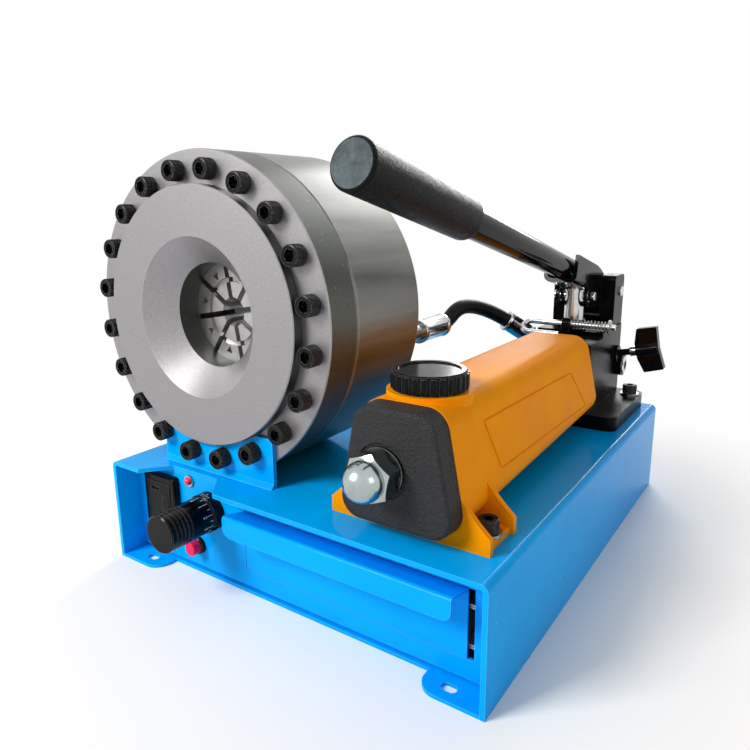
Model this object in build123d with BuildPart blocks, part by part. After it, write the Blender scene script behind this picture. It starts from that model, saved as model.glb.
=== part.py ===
"""Hose crimping machine with a hand pump, built as separate named pieces.

X runs to the right, Y to the back and Z up. The origin is on the bench, under the middle of the base.
"""
from build123d import *
from math import atan, cos, degrees, hypot, pi, radians, sin, tan
import os

os.makedirs("parts", exist_ok=True)

# ---------------------------------------------------------------- driving dimensions, in millimetres

# base
base_width = 400.0
base_depth = 478.0
base_height = 102.0
sheet = 4.0
sheet_bend = 6.0
panel_sheet = 3.0
panel_recess = 26.0
floor_sheet = 3.0
panel_gap = 2.0
tab_width = 52.0
tab_corner = 16.0
tab_slot_length = 13.0
tab_slot_width = 9.0
weld_leg = 4.0

# notch in the top plate, over the dial
notch_x = -109.0
notch_front_width = 102.0
notch_back_width = 60.0

# bracket that holds the head
bracket_left_edge = 3.7
bracket_right_edge = 21.7
bracket_bolt_angle = 27.0
bracket_rise = 45.0
bracket_plate = 4.0
bracket_y = -198.0

# drawer
drawer_left = -48.0
drawer_right = 173.0
drawer_top = 78.0
drawer_bottom = 22.0
drawer_depth = 300.0
drawer_sheet = 2.0
drawer_seam = 0.8
drawer_side_slot = 6.0
lip_rise = 5.0
lip_fold = 1.0
lip_drop = 18.0
slide_width = 12.0
slide_height = 36.0
slide_sheet = 1.5
slide_gap = 0.5
tray_gap = 0.5

# battery box
battery_x = -156.5
battery_width = 45.0
battery_bottom = 26.0
battery_top = 90.0
battery_proud = 7.0
battery_box_depth = 38.0
battery_rim = 4.0
battery_gap = 0.3
cell_height = 46.0
cell_depth = 17.0

# lamp and push button
lamp_x = -118.0
lamp_z = 91.0
lamp_bezel_radius = 5.5
lamp_bezel_proud = 2.0
lamp_radius = 4.0
button_x = -110.5
button_z = 27.0
button_bezel_radius = 8.5
button_bezel_proud = 5.0
button_radius = 6.7
button_proud = 13.0
fit_gap = 0.05

# dial
dial_x = -91.5
dial_z = 67.5
dial_radius = 17.5
dial_length = 46.0
dial_base_radius = 18.5
dial_base_length = 12.0
dial_groove_pitch = 4.2
dial_grooves = 5
spindle_radius = 4.0

# crimping head
head_x = -100.0
head_radius = 144.5
flange_thickness = 36.0
flange_front = -198.0
boss_inset = 12.5
boss_proud = 11.5
cone_radius = 72.0
bore_radius = 48.0
cone_depth = 24.0
body_length = 98.0
edge_chamfer = 1.6
bolt_inset = 16.0
bolt_count = 20
bolt_radius = 6.0
bolt_head_radius = 9.0
bolt_head_height = 12.0
bolt_hole_gap = 0.5
bolt_grip = 30.0
hex_key = 10.0
thread_gap = 0.05

# mechanism in the head
body_wall = 24.5
piston_start = 19.0
piston_length = 57.0
sleeve_radius = 62.0
sleeve_bore = 51.0
sleeve_start = 50.0
rear_wall = 18.0
cone_half_angle = 20.0
die_count = 8
die_turn = 10.0
die_length = 44.0
die_travel = 6.5
die_outer_radius = 100.0
die_closed_gap = 0.5
die_split_radius = 33.0
die_open_radius = 14.0
die_cone_gap = 0.3
face_gap = 0.3

# hand pump
pump_x = 116.5
tank_front = -206.0
tank_rear = 106.0
tank_bottom = 110.0
tank_top = 204.0
tank_rear_bottom = 121.0
tank_half_bottom = 52.0
tank_half_top = 34.0
tank_fillet = 18.0
tank_wall = 4.0
neck_depth = 12.0
cap_length = 18.0
cap_inset = 0.6
foot_half_span = 69.0
foot_depth = 46.0
foot_plate = 6.0
gusset = 5.0
gusset_start = 20.0
gusset_span = 26.0
gusset_height = 44.0
gusset_tip = 13.0
gusset_pull = 6.0
gusset_pull_height = 30.0
foot_plate_inset = 3.0
neck_y = -170.5
neck_radius = 33.0
neck_height = 2.5
filler_radius = 30.0
filler_height = 15.0
filler_ribs = 26
filler_bore = 18.0
filler_plug = 9.0
rod_offset = -9.0
rod_z = 155.0
nut_flats = 34.0
nut_height = 36.0
washer_radius = 18.5
washer_thickness = 3.0
washer_recess = 1.5
foot_bolt_radius = 5.0
foot_bolt_head = 8.0
foot_bolt_head_height = 10.0
foot_washer_radius = 10.5
foot_washer_thickness = 2.0
foot_bolt_inset = 12.0

# pump head
pump_foot_rear = 236.0
pump_foot_height = 16.0
pump_foot_corner = 12.0
pump_body_half = 38.0
pump_body_corner = 6.0
pump_body_top = 200.0
lug_inner = 19.5
lug_outer = 36.0
lug_front = 199.0
lug_rear = 236.0
lug_top = 260.0
lug_corner = 7.0
clevis_floor = 213.0
clevis_web = 7.0
clevis_web_top = 226.0
pivot_y = 223.0
pivot_z = 240.0
pivot_radius = 6.0
plunger_y = 166.0
plunger_pin_z = 239.0
plunger_radius = 11.0
plunger_top = 250.0
plunger_bottom = 165.0
plunger_pin_radius = 5.0
plunger_pin_half = 23.5
gland_wall = 3.0
gland_top = 211.5
running_gap = 0.05

# release valve and plug
valve_y = 211.0
valve_z = 166.5
valve_tilt = 14.0
valve_stem_radius = 4.0
valve_boss_wall = 6.0
valve_boss = 4.0
valve_collar_radius = 6.0
valve_collar_start = 18.0
valve_knob_start = 25.0
valve_knob_length = 27.0
valve_knob_half = 26.0
valve_knob_thickness = 10.0
plug_y = 225.0
plug_z = 150.5
plug_radius = 10.0
plug_boss_wall = 3.0
plug_boss = 7.0

# handle
handle_tilt = 13.3
handle_offset = 9.7
yoke_half = 18.0
yoke_plate = 4.0
yoke_front = 115.0
yoke_top = 23.0
yoke_corner = 8.0
yoke_floor_start = 72.0
tube_radius = 13.0
tube_wall = 3.0
tube_start = 76.0
grip_start = 352.0
grip_end = 505.0
grip_radius = 17.3

# lock hook
hook_gap = 0.5
hook_z = 209.0
hook_radius = 3.2
hook_left = -41.0
hook_right = 54.0
hook_return = -5.0
hook_reach = 13.5
hook_return_z = 198.5
hook_step_y = 154.0
hook_step_top = 194.0
hook_boss_left = -5.0
hook_boss_right = 4.0
hook_boss_radius = 6.5
hook_spring_radius = 6.0
hook_washer_x = 46.0
hook_washer = 1.5

# hose
hose_radius = 8.5
ferrule_radius = 13.0
hose_port_z = 210.0
hose_port_x = 0.0
port_radius = 6.0
spigot_depth = 8.0
head_adapter_hex = 22.0
head_adapter_hex_length = 16.0
head_adapter_radius = 9.0
ferrule_start = 8.0
ferrule_end = 61.0
ferrule_grip = 10.0
pump_ferrule_start = (39.0, 152.0, 206.0)
pump_ferrule_way = (0.63, 0.55, -0.55)
pump_ferrule_length = 36.0
pump_port_y = 176.5
pump_port_z = 181.5
elbow_radius = 9.5

# ---------------------------------------------------------------- values worked out from them

front_y = -base_depth / 2
back_y = base_depth / 2
panel_y = front_y + panel_recess
rear_panel_y = back_y - panel_recess
inner_x = base_width / 2 - sheet
head_z = base_height + head_radius
bolt_circle = head_radius - bolt_inset
boss_radius = bolt_circle - boss_inset
piston_radius = head_radius - body_wall
gland_radius = plunger_radius + gland_wall
hook_y = plunger_y - gland_radius - hook_boss_radius - hook_gap
hook_return_y = hook_y - hook_reach
bracket_bolt_reach = bolt_circle * sin(radians(bracket_bolt_angle))
bracket_left = head_x - bracket_bolt_reach - bracket_left_edge
bracket_right = head_x + bracket_bolt_reach + bracket_right_edge
flange_back = flange_front + flange_thickness
boss_front = flange_front - boss_proud
head_back = flange_back + body_length
bolt_step = 360 / bolt_count
cone_slope = tan(radians(cone_half_angle))


def facing(y):
    """Return the upright plane at y whose sketches are drawn in X and Z."""
    return Plane.XZ.offset(-y)


def save(part, name):
    """Label a finished piece and write it as a STEP file."""
    part.label = name
    export_step(part, f"parts/{name}.step")


# ---------------------------------------------------------------- base: folded sheet shell

with BuildPart() as base_shell:
    with BuildSketch(facing(front_y)):
        with Locations((0, base_height / 2)):
            Rectangle(base_width, base_height)
        top_corners = vertices().group_by(Axis.Y)[-1]
        fillet(top_corners, sheet_bend)
    extrude(amount=-base_depth)
    with BuildSketch(facing(front_y)):
        with Locations((0, (base_height - sheet) / 2)):
            Rectangle(base_width - 2 * sheet, base_height - sheet)
        inner_corners = vertices().group_by(Axis.Y)[-1]
        fillet(inner_corners, sheet_bend - sheet)
    extrude(amount=-base_depth, mode=Mode.SUBTRACT)
    with BuildSketch(Plane.XY.offset(base_height)):
        with BuildLine():
            Polyline(
                (notch_x - notch_front_width / 2, front_y),
                (notch_x - notch_back_width / 2, panel_y - 1),
                (notch_x + notch_back_width / 2, panel_y - 1),
                (notch_x + notch_front_width / 2, front_y),
                close=True,
            )
        make_face()
    extrude(amount=-sheet, mode=Mode.SUBTRACT)
save(base_shell.part, "base_shell")

# ---------------------------------------------------------------- bottom plate with bolt-down tabs

tab_y = (front_y + panel_y) / 2
tab_hole_x = base_width / 2 - 34.0

with BuildPart() as bottom_plate:
    with BuildSketch():
        Rectangle(2 * inner_x, rear_panel_y - panel_y + 2 * panel_sheet)
        for side in (-1, 1):
            with Locations((side * (inner_x - tab_width / 2), 0)):
                Rectangle(tab_width, base_depth)
        tab_ends = vertices().group_by(Axis.Y)
        fillet(tab_ends[0].sort_by(Axis.X)[1:3], tab_corner)
        fillet(tab_ends[-1].sort_by(Axis.X)[1:3], tab_corner)
        with GridLocations(2 * tab_hole_x, 2 * abs(tab_y), 2, 2):
            SlotOverall(tab_slot_length, tab_slot_width, mode=Mode.SUBTRACT)
    extrude(amount=floor_sheet)
save(bottom_plate.part, "bottom_plate")

# ---------------------------------------------------------------- recessed front and rear panels

panel_bottom = floor_sheet + panel_gap
panel_height = base_height - sheet - panel_bottom
opening_left = drawer_left - drawer_seam
opening_right = drawer_right + drawer_side_slot
opening_width = opening_right - opening_left
opening_height = drawer_top - drawer_bottom + 2 * drawer_seam

with BuildPart() as front_panel:
    with BuildSketch(facing(panel_y)):
        with Locations((0, panel_bottom + panel_height / 2)):
            Rectangle(2 * inner_x, panel_height)
        fillet(vertices().group_by(Axis.Y)[-1], sheet_bend - sheet)
        with Locations(((opening_left + opening_right) / 2, (drawer_top + drawer_bottom) / 2)):
            Rectangle(opening_width, opening_height, mode=Mode.SUBTRACT)
        with Locations((battery_x, (battery_bottom + battery_top) / 2)):
            Rectangle(
                battery_width - 2 * battery_rim + 2 * battery_gap,
                battery_top - battery_bottom - 2 * battery_rim + 2 * battery_gap,
                mode=Mode.SUBTRACT,
            )
        with Locations((lamp_x, lamp_z)):
            Circle(lamp_radius + fit_gap, mode=Mode.SUBTRACT)
        with Locations((button_x, button_z)):
            Circle(button_radius + fit_gap, mode=Mode.SUBTRACT)
        with Locations((dial_x, dial_z)):
            Circle(spindle_radius + 2, mode=Mode.SUBTRACT)
    extrude(amount=-panel_sheet)
save(front_panel.part, "front_panel")

with BuildPart() as rear_panel:
    with BuildSketch(facing(rear_panel_y)):
        with Locations((0, panel_bottom + panel_height / 2)):
            Rectangle(2 * inner_x, panel_height)
        fillet(vertices().group_by(Axis.Y)[-1], sheet_bend - sheet)
    extrude(amount=panel_sheet)
save(rear_panel.part, "rear_panel")

# ---------------------------------------------------------------- bracket under the head

bracket_width = bracket_right - bracket_left
bracket_mid = (bracket_left + bracket_right) / 2
bracket_angles = (-bracket_bolt_angle, -bolt_step / 2, bolt_step / 2, bracket_bolt_angle)

with BuildPart() as head_bracket:
    with BuildSketch(facing(bracket_y)):
        with Locations((bracket_mid, base_height + bracket_rise / 2)):
            Rectangle(bracket_width, bracket_rise)
        corner = vertices().group_by(Axis.Y)[-1].sort_by(Axis.X)[-1]
        fillet(corner, 5)
        with Locations((head_x, head_z)):
            Circle(boss_radius + bolt_hole_gap, mode=Mode.SUBTRACT)
        for angle in bracket_angles:
            hole_x = head_x + bolt_circle * sin(radians(angle))
            hole_z = head_z - bolt_circle * cos(radians(angle))
            with Locations((hole_x, hole_z)):
                Circle(bolt_radius + bolt_hole_gap, mode=Mode.SUBTRACT)
    extrude(amount=bracket_plate)
    with BuildSketch(Plane.YZ.offset(bracket_left)):
        with BuildLine():
            bead_y = bracket_y - bracket_plate
            Polyline(
                (bead_y, base_height),
                (bead_y - weld_leg, base_height),
                (bead_y, base_height + weld_leg),
                close=True,
            )
        make_face()
    extrude(amount=bracket_width)
save(head_bracket.part, "head_bracket")

# ---------------------------------------------------------------- drawer: folded front, tray and slides

front_back_y = panel_y + drawer_sheet
tray_left = drawer_left + slide_width + tray_gap
tray_right = drawer_right - drawer_side_slot
tray_floor = drawer_bottom + 2
tray_top = drawer_top - 10
slide_z = (tray_floor + tray_top) / 2
slide_start = panel_y + panel_sheet + 1
lip_y = front_y + drawer_sheet / 2

with BuildPart() as drawer_front:
    with BuildSketch(Plane.YZ.offset(drawer_left)):
        with BuildLine() as fold:
            mid_y = panel_y + drawer_sheet / 2
            FilletPolyline(
                (mid_y, drawer_bottom),
                (mid_y, drawer_top - lip_fold),
                (lip_y, drawer_top + lip_rise),
                (lip_y, drawer_top + lip_rise - lip_drop),
                radius=drawer_sheet,
            )
        trace(fold.line, line_width=drawer_sheet)
    extrude(amount=drawer_right - drawer_left)
    skirt_corners = edges().filter_by(Axis.Y).group_by(Axis.Y)[0].group_by(Axis.Z)[0]
    fillet(skirt_corners, 8)
save(drawer_front.part, "drawer_front")

with BuildPart() as drawer_tray:
    with BuildSketch(Plane.XY.offset(tray_floor)):
        with Locations(((tray_left + tray_right) / 2, front_back_y + drawer_depth / 2)):
            Rectangle(tray_right - tray_left, drawer_depth)
    extrude(amount=tray_top - tray_floor)
    offset(amount=-drawer_sheet, openings=faces().sort_by(Axis.Z)[-1])
save(drawer_tray.part, "drawer_tray")


def channel(wall_x, open_side, reach, half_height):
    """Draw one side rail: a web at wall_x with two flanges that point to open_side."""
    web_x = wall_x + open_side * slide_sheet / 2
    with Locations((web_x, slide_z)):
        Rectangle(slide_sheet, 2 * half_height)
    for z_side in (-1, 1):
        with Locations((wall_x + open_side * reach / 2, slide_z + z_side * (half_height - slide_sheet / 2))):
            Rectangle(reach, slide_sheet)


outer_half = slide_height / 2
inner_half = outer_half - slide_sheet - slide_gap
member_reach = slide_width - slide_sheet - slide_gap

with BuildPart() as slide_rails:
    with BuildSketch(facing(slide_start)):
        channel(tray_left - slide_width, 1, member_reach, outer_half)
        channel(tray_right + slide_width, -1, member_reach, outer_half)
    extrude(amount=-(drawer_depth - 10))
save(slide_rails.part, "slide_rails")

with BuildPart() as slide_runners:
    with BuildSketch(facing(slide_start)):
        channel(tray_left, -1, member_reach, inner_half)
        channel(tray_right, 1, member_reach, inner_half)
    extrude(amount=-(drawer_depth - 10))
save(slide_runners.part, "slide_runners")

cradle_top = slide_z + slide_height / 2 + 4

with BuildPart() as drawer_cradle:
    for wall_x, side in ((tray_left - slide_width, -1), (tray_right + slide_width, 1)):
        with BuildSketch(facing(slide_start)):
            with BuildLine() as angle_line:
                web_x = wall_x + side * drawer_sheet / 2
                foot_z = floor_sheet + drawer_sheet / 2
                FilletPolyline(
                    (web_x, cradle_top),
                    (web_x, foot_z),
                    (web_x + side * 10, foot_z),
                    radius=drawer_sheet,
                )
            trace(angle_line.line, line_width=drawer_sheet)
        extrude(amount=-(drawer_depth - 10))
save(drawer_cradle.part, "drawer_cradle")

# ---------------------------------------------------------------- battery box and its tray

box_front = panel_y - battery_proud
box_height = battery_top - battery_bottom
box_mid_z = (battery_bottom + battery_top) / 2
box_wall = battery_rim - 1.5
box_back = panel_y + battery_box_depth
pocket_width = battery_width - 2 * battery_rim
pocket_height = box_height - 2 * battery_rim

with BuildPart() as battery_box:
    with BuildSketch(facing(panel_y)):
        with Locations((battery_x, box_mid_z)):
            RectangleRounded(battery_width, box_height, 3)
    extrude(amount=battery_proud)
    fillet(faces().sort_by(Axis.Y)[0].edges(), 2)
    with BuildSketch(facing(box_back)):
        with Locations((battery_x, box_mid_z)):
            Rectangle(pocket_width, pocket_height)
    extrude(amount=battery_box_depth)
    with BuildSketch(facing(box_front)):
        with Locations((battery_x, box_mid_z)):
            Rectangle(pocket_width - 2 * box_wall, pocket_height - 2 * box_wall)
    extrude(amount=-(battery_proud + battery_box_depth - box_wall), mode=Mode.SUBTRACT)
save(battery_box.part, "battery_box")

tray_width = pocket_width - 2 * box_wall - 2 * battery_gap
tray_height = pocket_height - 2 * box_wall - 2 * battery_gap
tray_reach = battery_proud + battery_box_depth - box_wall - 1

with BuildPart() as battery_tray:
    with BuildSketch(facing(box_front)):
        with Locations((battery_x, box_mid_z)):
            Rectangle(tray_width, tray_height)
    extrude(amount=-tray_reach)
    with BuildSketch(Plane.YZ.offset(battery_x + tray_width / 2)):
        with Locations((box_front + 4 + cell_depth, box_mid_z)):
            Rectangle(2 * cell_depth, cell_height)
    extrude(amount=-(tray_width - 2), mode=Mode.SUBTRACT)
    with BuildSketch(facing(box_front)):
        with Locations((battery_x, box_mid_z)):
            Rectangle(tray_width, tray_height)
    extrude(amount=1)
    with BuildSketch(facing(box_front - 1)):
        with Locations((battery_x - 4, battery_top - 14)):
            SlotOverall(13, 3.5)
    extrude(amount=-2, mode=Mode.SUBTRACT)
    with BuildSketch(facing(box_front - 1)):
        for step in range(3):
            with Locations((battery_x + tray_width / 2 - 3 - 3 * step, box_mid_z - 4)):
                Rectangle(1, tray_height - 16)
    extrude(amount=0.8)
save(battery_tray.part, "battery_tray")

# ---------------------------------------------------------------- lamp and push button

with BuildPart() as lamp_bezel:
    with BuildSketch(facing(panel_y)):
        with Locations((lamp_x, lamp_z)):
            Circle(lamp_bezel_radius)
            Circle(lamp_radius + fit_gap, mode=Mode.SUBTRACT)
    extrude(amount=lamp_bezel_proud)
save(lamp_bezel.part, "lamp_bezel")

with BuildPart() as button_bezel:
    with BuildSketch(facing(panel_y)):
        with Locations((button_x, button_z)):
            Circle(button_bezel_radius)
            Circle(button_radius + fit_gap, mode=Mode.SUBTRACT)
    extrude(amount=button_bezel_proud)
    chamfer(faces().sort_by(Axis.Y)[0].edges().sort_by(SortBy.RADIUS)[-1], 1)
save(button_bezel.part, "button_bezel")

with BuildPart() as lamp_lens:
    with BuildSketch(Plane.XY.offset(lamp_z)):
        with BuildLine():
            dome_y = panel_y - 2
            Line((lamp_x, panel_y + 10), (lamp_x + lamp_radius, panel_y + 10))
            Line((lamp_x + lamp_radius, panel_y + 10), (lamp_x + lamp_radius, dome_y))
            RadiusArc((lamp_x + lamp_radius, dome_y), (lamp_x, dome_y - lamp_radius), lamp_radius)
            Line((lamp_x, dome_y - lamp_radius), (lamp_x, panel_y + 10))
        make_face()
    revolve(axis=Axis((lamp_x, 0, lamp_z), (0, 1, 0)))
save(lamp_lens.part, "lamp_lens")

with BuildPart() as button_cap:
    with BuildSketch(facing(panel_y + 16)):
        with Locations((button_x, button_z)):
            Circle(button_radius)
    extrude(amount=16 + button_proud)
    fillet(faces().sort_by(Axis.Y)[0].edges(), 1.5)
save(button_cap.part, "button_cap")

# ---------------------------------------------------------------- dial: fixed base, thimble and spindle

dial_front = panel_y - dial_base_length - dial_length - face_gap

with BuildPart() as dial_base:
    with BuildSketch(facing(panel_y)):
        with Locations((dial_x, dial_z)):
            Circle(dial_base_radius)
            Circle(spindle_radius + fit_gap, mode=Mode.SUBTRACT)
    extrude(amount=dial_base_length)
    chamfer(faces().sort_by(Axis.Y)[0].edges().sort_by(SortBy.RADIUS)[-1], 1.5)
    with BuildSketch(facing(panel_y - dial_base_length)):
        for angle in (-35, 145):
            notch_x_at = dial_x + dial_base_radius * cos(radians(angle))
            notch_z_at = dial_z + dial_base_radius * sin(radians(angle))
            with Locations((notch_x_at, notch_z_at)):
                Rectangle(6, 6, rotation=angle)
    extrude(amount=-dial_base_length / 2, mode=Mode.SUBTRACT)
save(dial_base.part, "dial_base")

with BuildPart() as dial_thimble:
    thimble_back = panel_y - dial_base_length - face_gap
    with BuildSketch(facing(thimble_back)):
        with Locations((dial_x, dial_z)):
            Circle(dial_radius)
            Circle(spindle_radius, mode=Mode.SUBTRACT)
    extrude(amount=dial_length - 6)
    with BuildSketch(facing(dial_front + 6)):
        with Locations((dial_x, dial_z)):
            Circle(dial_radius)
    extrude(amount=6)
    chamfer(faces().sort_by(Axis.Y)[0].edges(), 1)
    for groove in range(dial_grooves):
        groove_y = dial_front + 5 + groove * dial_groove_pitch
        with BuildSketch(facing(groove_y)):
            with Locations((dial_x, dial_z)):
                Circle(dial_radius + 1)
                Circle(dial_radius - 0.9, mode=Mode.SUBTRACT)
        extrude(amount=-1.4, mode=Mode.SUBTRACT)
save(dial_thimble.part, "dial_thimble")

spindle_start = dial_front + 8
spindle_end = panel_y + 60

with BuildPart() as dial_spindle:
    with BuildSketch(facing(spindle_end)):
        with Locations((dial_x, dial_z)):
            Circle(spindle_radius - fit_gap)
    extrude(amount=spindle_end - spindle_start)
    chamfer(faces().sort_by(Axis.Y)[-1].edges(), 1)
save(dial_spindle.part, "dial_spindle")

# ---------------------------------------------------------------- crimping head: flange, body, bolts

head_axis = Axis((head_x, 0, head_z), (0, 1, 0))
profile_plane = Plane((head_x, 0, head_z), x_dir=(1, 0, 0), z_dir=(0, 0, 1))


def bolt_places(radius):
    """Return the places of the flange bolts in the head's sketch plane."""
    start = bolt_step / 2
    return [
        (
            head_x + radius * sin(radians(start + bolt_step * index)),
            head_z + radius * cos(radians(start + bolt_step * index)),
        )
        for index in range(bolt_count)
    ]


with BuildPart() as front_flange:
    with BuildSketch(profile_plane):
        with BuildLine():
            Polyline(
                (bore_radius, flange_back),
                (bore_radius, boss_front + cone_depth),
                (cone_radius, boss_front),
                (boss_radius - 1, boss_front),
                (boss_radius, boss_front + 1),
                (boss_radius, flange_front),
                (head_radius - 1, flange_front),
                (head_radius, flange_front + 1),
                (head_radius, flange_back - edge_chamfer),
                (head_radius - edge_chamfer, flange_back),
                close=True,
            )
        make_face()
    revolve(axis=head_axis)
    with BuildSketch(facing(flange_front)):
        with Locations(*bolt_places(bolt_circle)):
            Circle(bolt_radius + bolt_hole_gap)
    extrude(amount=-flange_thickness, mode=Mode.SUBTRACT)
save(front_flange.part, "front_flange")

with BuildPart() as cylinder_body:
    with BuildSketch(profile_plane):
        with BuildLine():
            wall_start = head_back - rear_wall
            Polyline(
                (piston_radius, flange_back),
                (piston_radius, wall_start),
                (sleeve_radius, wall_start),
                (sleeve_radius, head_back),
                (head_radius - edge_chamfer, head_back),
                (head_radius, head_back - edge_chamfer),
                (head_radius, flange_back + edge_chamfer),
                (head_radius - edge_chamfer, flange_back),
                close=True,
            )
        make_face()
    revolve(axis=head_axis)
    with BuildSketch(facing(flange_back)):
        with Locations(*bolt_places(bolt_circle)):
            Circle(bolt_radius + thread_gap)
    extrude(amount=-(bolt_grip + 4), mode=Mode.SUBTRACT)
    with BuildSketch(facing(head_back)):
        with Locations((hose_port_x, hose_port_z)):
            Circle(port_radius)
    extrude(amount=rear_wall, mode=Mode.SUBTRACT)
save(cylinder_body.part, "cylinder_body")

with BuildPart() as rear_sleeve:
    with BuildSketch(profile_plane):
        with BuildLine():
            Polyline(
                (sleeve_bore, flange_back + sleeve_start),
                (sleeve_bore, head_back - 4),
                (sleeve_bore + 4, head_back),
                (sleeve_radius - fit_gap, head_back),
                (sleeve_radius - fit_gap, flange_back + sleeve_start),
                close=True,
            )
        make_face()
    revolve(axis=head_axis)
save(rear_sleeve.part, "rear_sleeve")

with BuildPart() as flange_bolts:
    bracket_bolts = [place for place in bolt_places(bolt_circle) if place[1] < base_height + bracket_rise]
    free_bolts = [place for place in bolt_places(bolt_circle) if place[1] >= base_height + bracket_rise]
    for places, seat_y in ((free_bolts, flange_front), (bracket_bolts, bracket_y - bracket_plate)):
        with BuildSketch(facing(seat_y)):
            with Locations(*places):
                Circle(bolt_head_radius)
        extrude(amount=bolt_head_height)
        with BuildSketch(facing(seat_y - bolt_head_height)):
            with Locations(*places):
                RegularPolygon(hex_key / 2, 6, major_radius=False)
        extrude(amount=-6, mode=Mode.SUBTRACT)
        with BuildSketch(facing(seat_y)):
            with Locations(*places):
                Circle(bolt_radius)
        extrude(amount=-(flange_back + bolt_grip - seat_y))
save(flange_bolts.part, "flange_bolts")

# ---------------------------------------------------------------- ring piston and dies

piston_front = flange_back + piston_start
piston_back = piston_front + piston_length
web_front = piston_back - 13.0


def die_cone(y):
    """Return the radius of the dies' outer cone at y, with the dies open."""
    return die_outer_radius - (y - flange_back) * cone_slope


cone_offset = die_cone_gap / cos(radians(cone_half_angle))

with BuildPart() as ring_piston:
    with BuildSketch(profile_plane):
        with BuildLine():
            Polyline(
                (die_cone(piston_front) + cone_offset, piston_front),
                (die_cone(web_front) + cone_offset, web_front),
                (sleeve_radius, web_front),
                (sleeve_radius, piston_back),
                (piston_radius - running_gap, piston_back),
                (piston_radius - running_gap, piston_front),
                close=True,
            )
        make_face()
    revolve(axis=head_axis)
save(ring_piston.part, "ring_piston")

die_front = flange_back + face_gap
die_back = flange_back + die_length
split_radius = die_split_radius - die_travel
mouth_radius = die_open_radius - die_travel
wedge_half = 180 / die_count


def closed_cone(y):
    """Return the radius of a die's outer cone at y, with the dies closed."""
    return die_cone(y) - die_travel


for number in range(die_count):
    angle = radians(die_turn + wedge_half + number * 360 / die_count)
    outward = Vector(cos(angle), 0, sin(angle))
    sideways = Vector(-sin(angle), 0, cos(angle))
    home = Vector(head_x, 0, head_z) + outward * die_travel
    turning = Plane(home, x_dir=outward, z_dir=sideways)
    face_plane = Plane(home + Vector(0, die_front, 0), x_dir=outward, z_dir=(0, -1, 0))
    with BuildPart() as die:
        with BuildSketch(turning):
            with BuildLine():
                Polyline(
                    (mouth_radius, die_front),
                    (mouth_radius - 3, die_front + 5),
                    (mouth_radius - 3, die_back - 5),
                    (mouth_radius, die_back),
                    (split_radius - 4.5, die_back),
                    (split_radius - 4.5, die_back - 4),
                    (split_radius, die_back - 4),
                    (split_radius, die_front + 4),
                    (split_radius - 4.5, die_front + 4),
                    (split_radius - 4.5, die_front),
                    close=True,
                )
            make_face()
            with BuildLine():
                Polyline(
                    (split_radius + fit_gap, die_front),
                    (closed_cone(die_front), die_front),
                    (closed_cone(die_back), die_back),
                    (split_radius + fit_gap, die_back),
                    close=True,
                )
            make_face()
        revolve(axis=Axis(home, (0, 1, 0)), revolution_arc=360)
        with BuildSketch(face_plane):
            with BuildLine():
                tip = die_closed_gap / 2 / sin(radians(wedge_half))
                reach = die_outer_radius + 20
                rise = (reach - tip) * tan(radians(wedge_half))
                Polyline((tip, 0), (reach, rise), (reach, -rise), close=True)
            make_face()
        extrude(amount=-die_length, mode=Mode.INTERSECT)
        with BuildSketch(face_plane):
            with Locations((split_radius + 5.5, 0)):
                RegularPolygon(4.6, 3, rotation=180)
        extrude(amount=-5, mode=Mode.SUBTRACT)
    save(die.part, f"die_{number + 1}")

# ---------------------------------------------------------------- hand pump: tank, end cap, filler cap


def tank_outline(bottom, grow=0.0):
    """Draw the tank's section, a trapezium with round corners, in the current sketch."""
    Polygon(
        (pump_x - tank_half_bottom - grow, bottom - grow),
        (pump_x + tank_half_bottom + grow, bottom - grow),
        (pump_x + tank_half_top + grow, tank_top + grow),
        (pump_x - tank_half_top - grow, tank_top + grow),
        align=None,
    )
    fillet(vertices(), tank_fillet + grow)


with BuildPart() as pump_tank:
    with BuildSketch(facing(tank_front)):
        tank_outline(tank_bottom)
    with BuildSketch(facing(tank_rear)):
        tank_outline(tank_rear_bottom)
    loft()
    with BuildSketch(facing(tank_front)):
        tank_outline(tank_bottom, -tank_wall)
    with BuildSketch(facing(tank_rear)):
        tank_outline(tank_rear_bottom, -tank_wall)
    loft(mode=Mode.SUBTRACT)
    with BuildSketch(Plane.XY.offset(tank_top + neck_height)):
        with Locations((pump_x, neck_y)):
            Circle(neck_radius)
            Circle(filler_bore, mode=Mode.SUBTRACT)
    extrude(amount=-neck_depth)
    with BuildSketch(Plane.XY.offset(tank_top + neck_height)):
        with Locations((pump_x, neck_y)):
            Circle(filler_bore)
    extrude(amount=-neck_depth, mode=Mode.SUBTRACT)
    for wall_front in (tank_front, tank_front + foot_depth - gusset):
        with BuildSketch(facing(wall_front)):
            for side in (-1, 1):
                with BuildLine():
                    inner_foot = (pump_x + side * gusset_start, base_height)
                    outer_foot = (pump_x + side * foot_half_span, base_height)
                    under_tank = (pump_x + side * gusset_start, base_height + gusset_height)
                    inner_top = (outer_foot[0] - side * gusset_span, base_height + gusset_height)
                    outer_top = (outer_foot[0], base_height + gusset_tip)
                    pull = (inner_top[0] + side * gusset_pull, base_height + gusset_pull_height)
                    Line(inner_foot, under_tank)
                    Line(under_tank, inner_top)
                    Bezier(inner_top, pull, outer_top)
                    Line(outer_top, outer_foot)
                    Line(outer_foot, inner_foot)
                make_face()
        extrude(amount=-gusset)
    with BuildSketch(Plane.XY.offset(base_height)):
        with Locations((pump_x, tank_front + foot_depth / 2)):
            Rectangle(2 * (foot_half_span - foot_plate_inset), foot_depth)
        with Locations((pump_x, tank_front + foot_depth / 2)):
            with GridLocations(2 * (foot_half_span - foot_bolt_inset), 1, 2, 1):
                Circle(foot_bolt_radius + bolt_hole_gap, mode=Mode.SUBTRACT)
    extrude(amount=foot_plate)
save(pump_tank.part, "pump_tank")

cap_front = tank_front - cap_length
rod_x = pump_x + rod_offset

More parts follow.
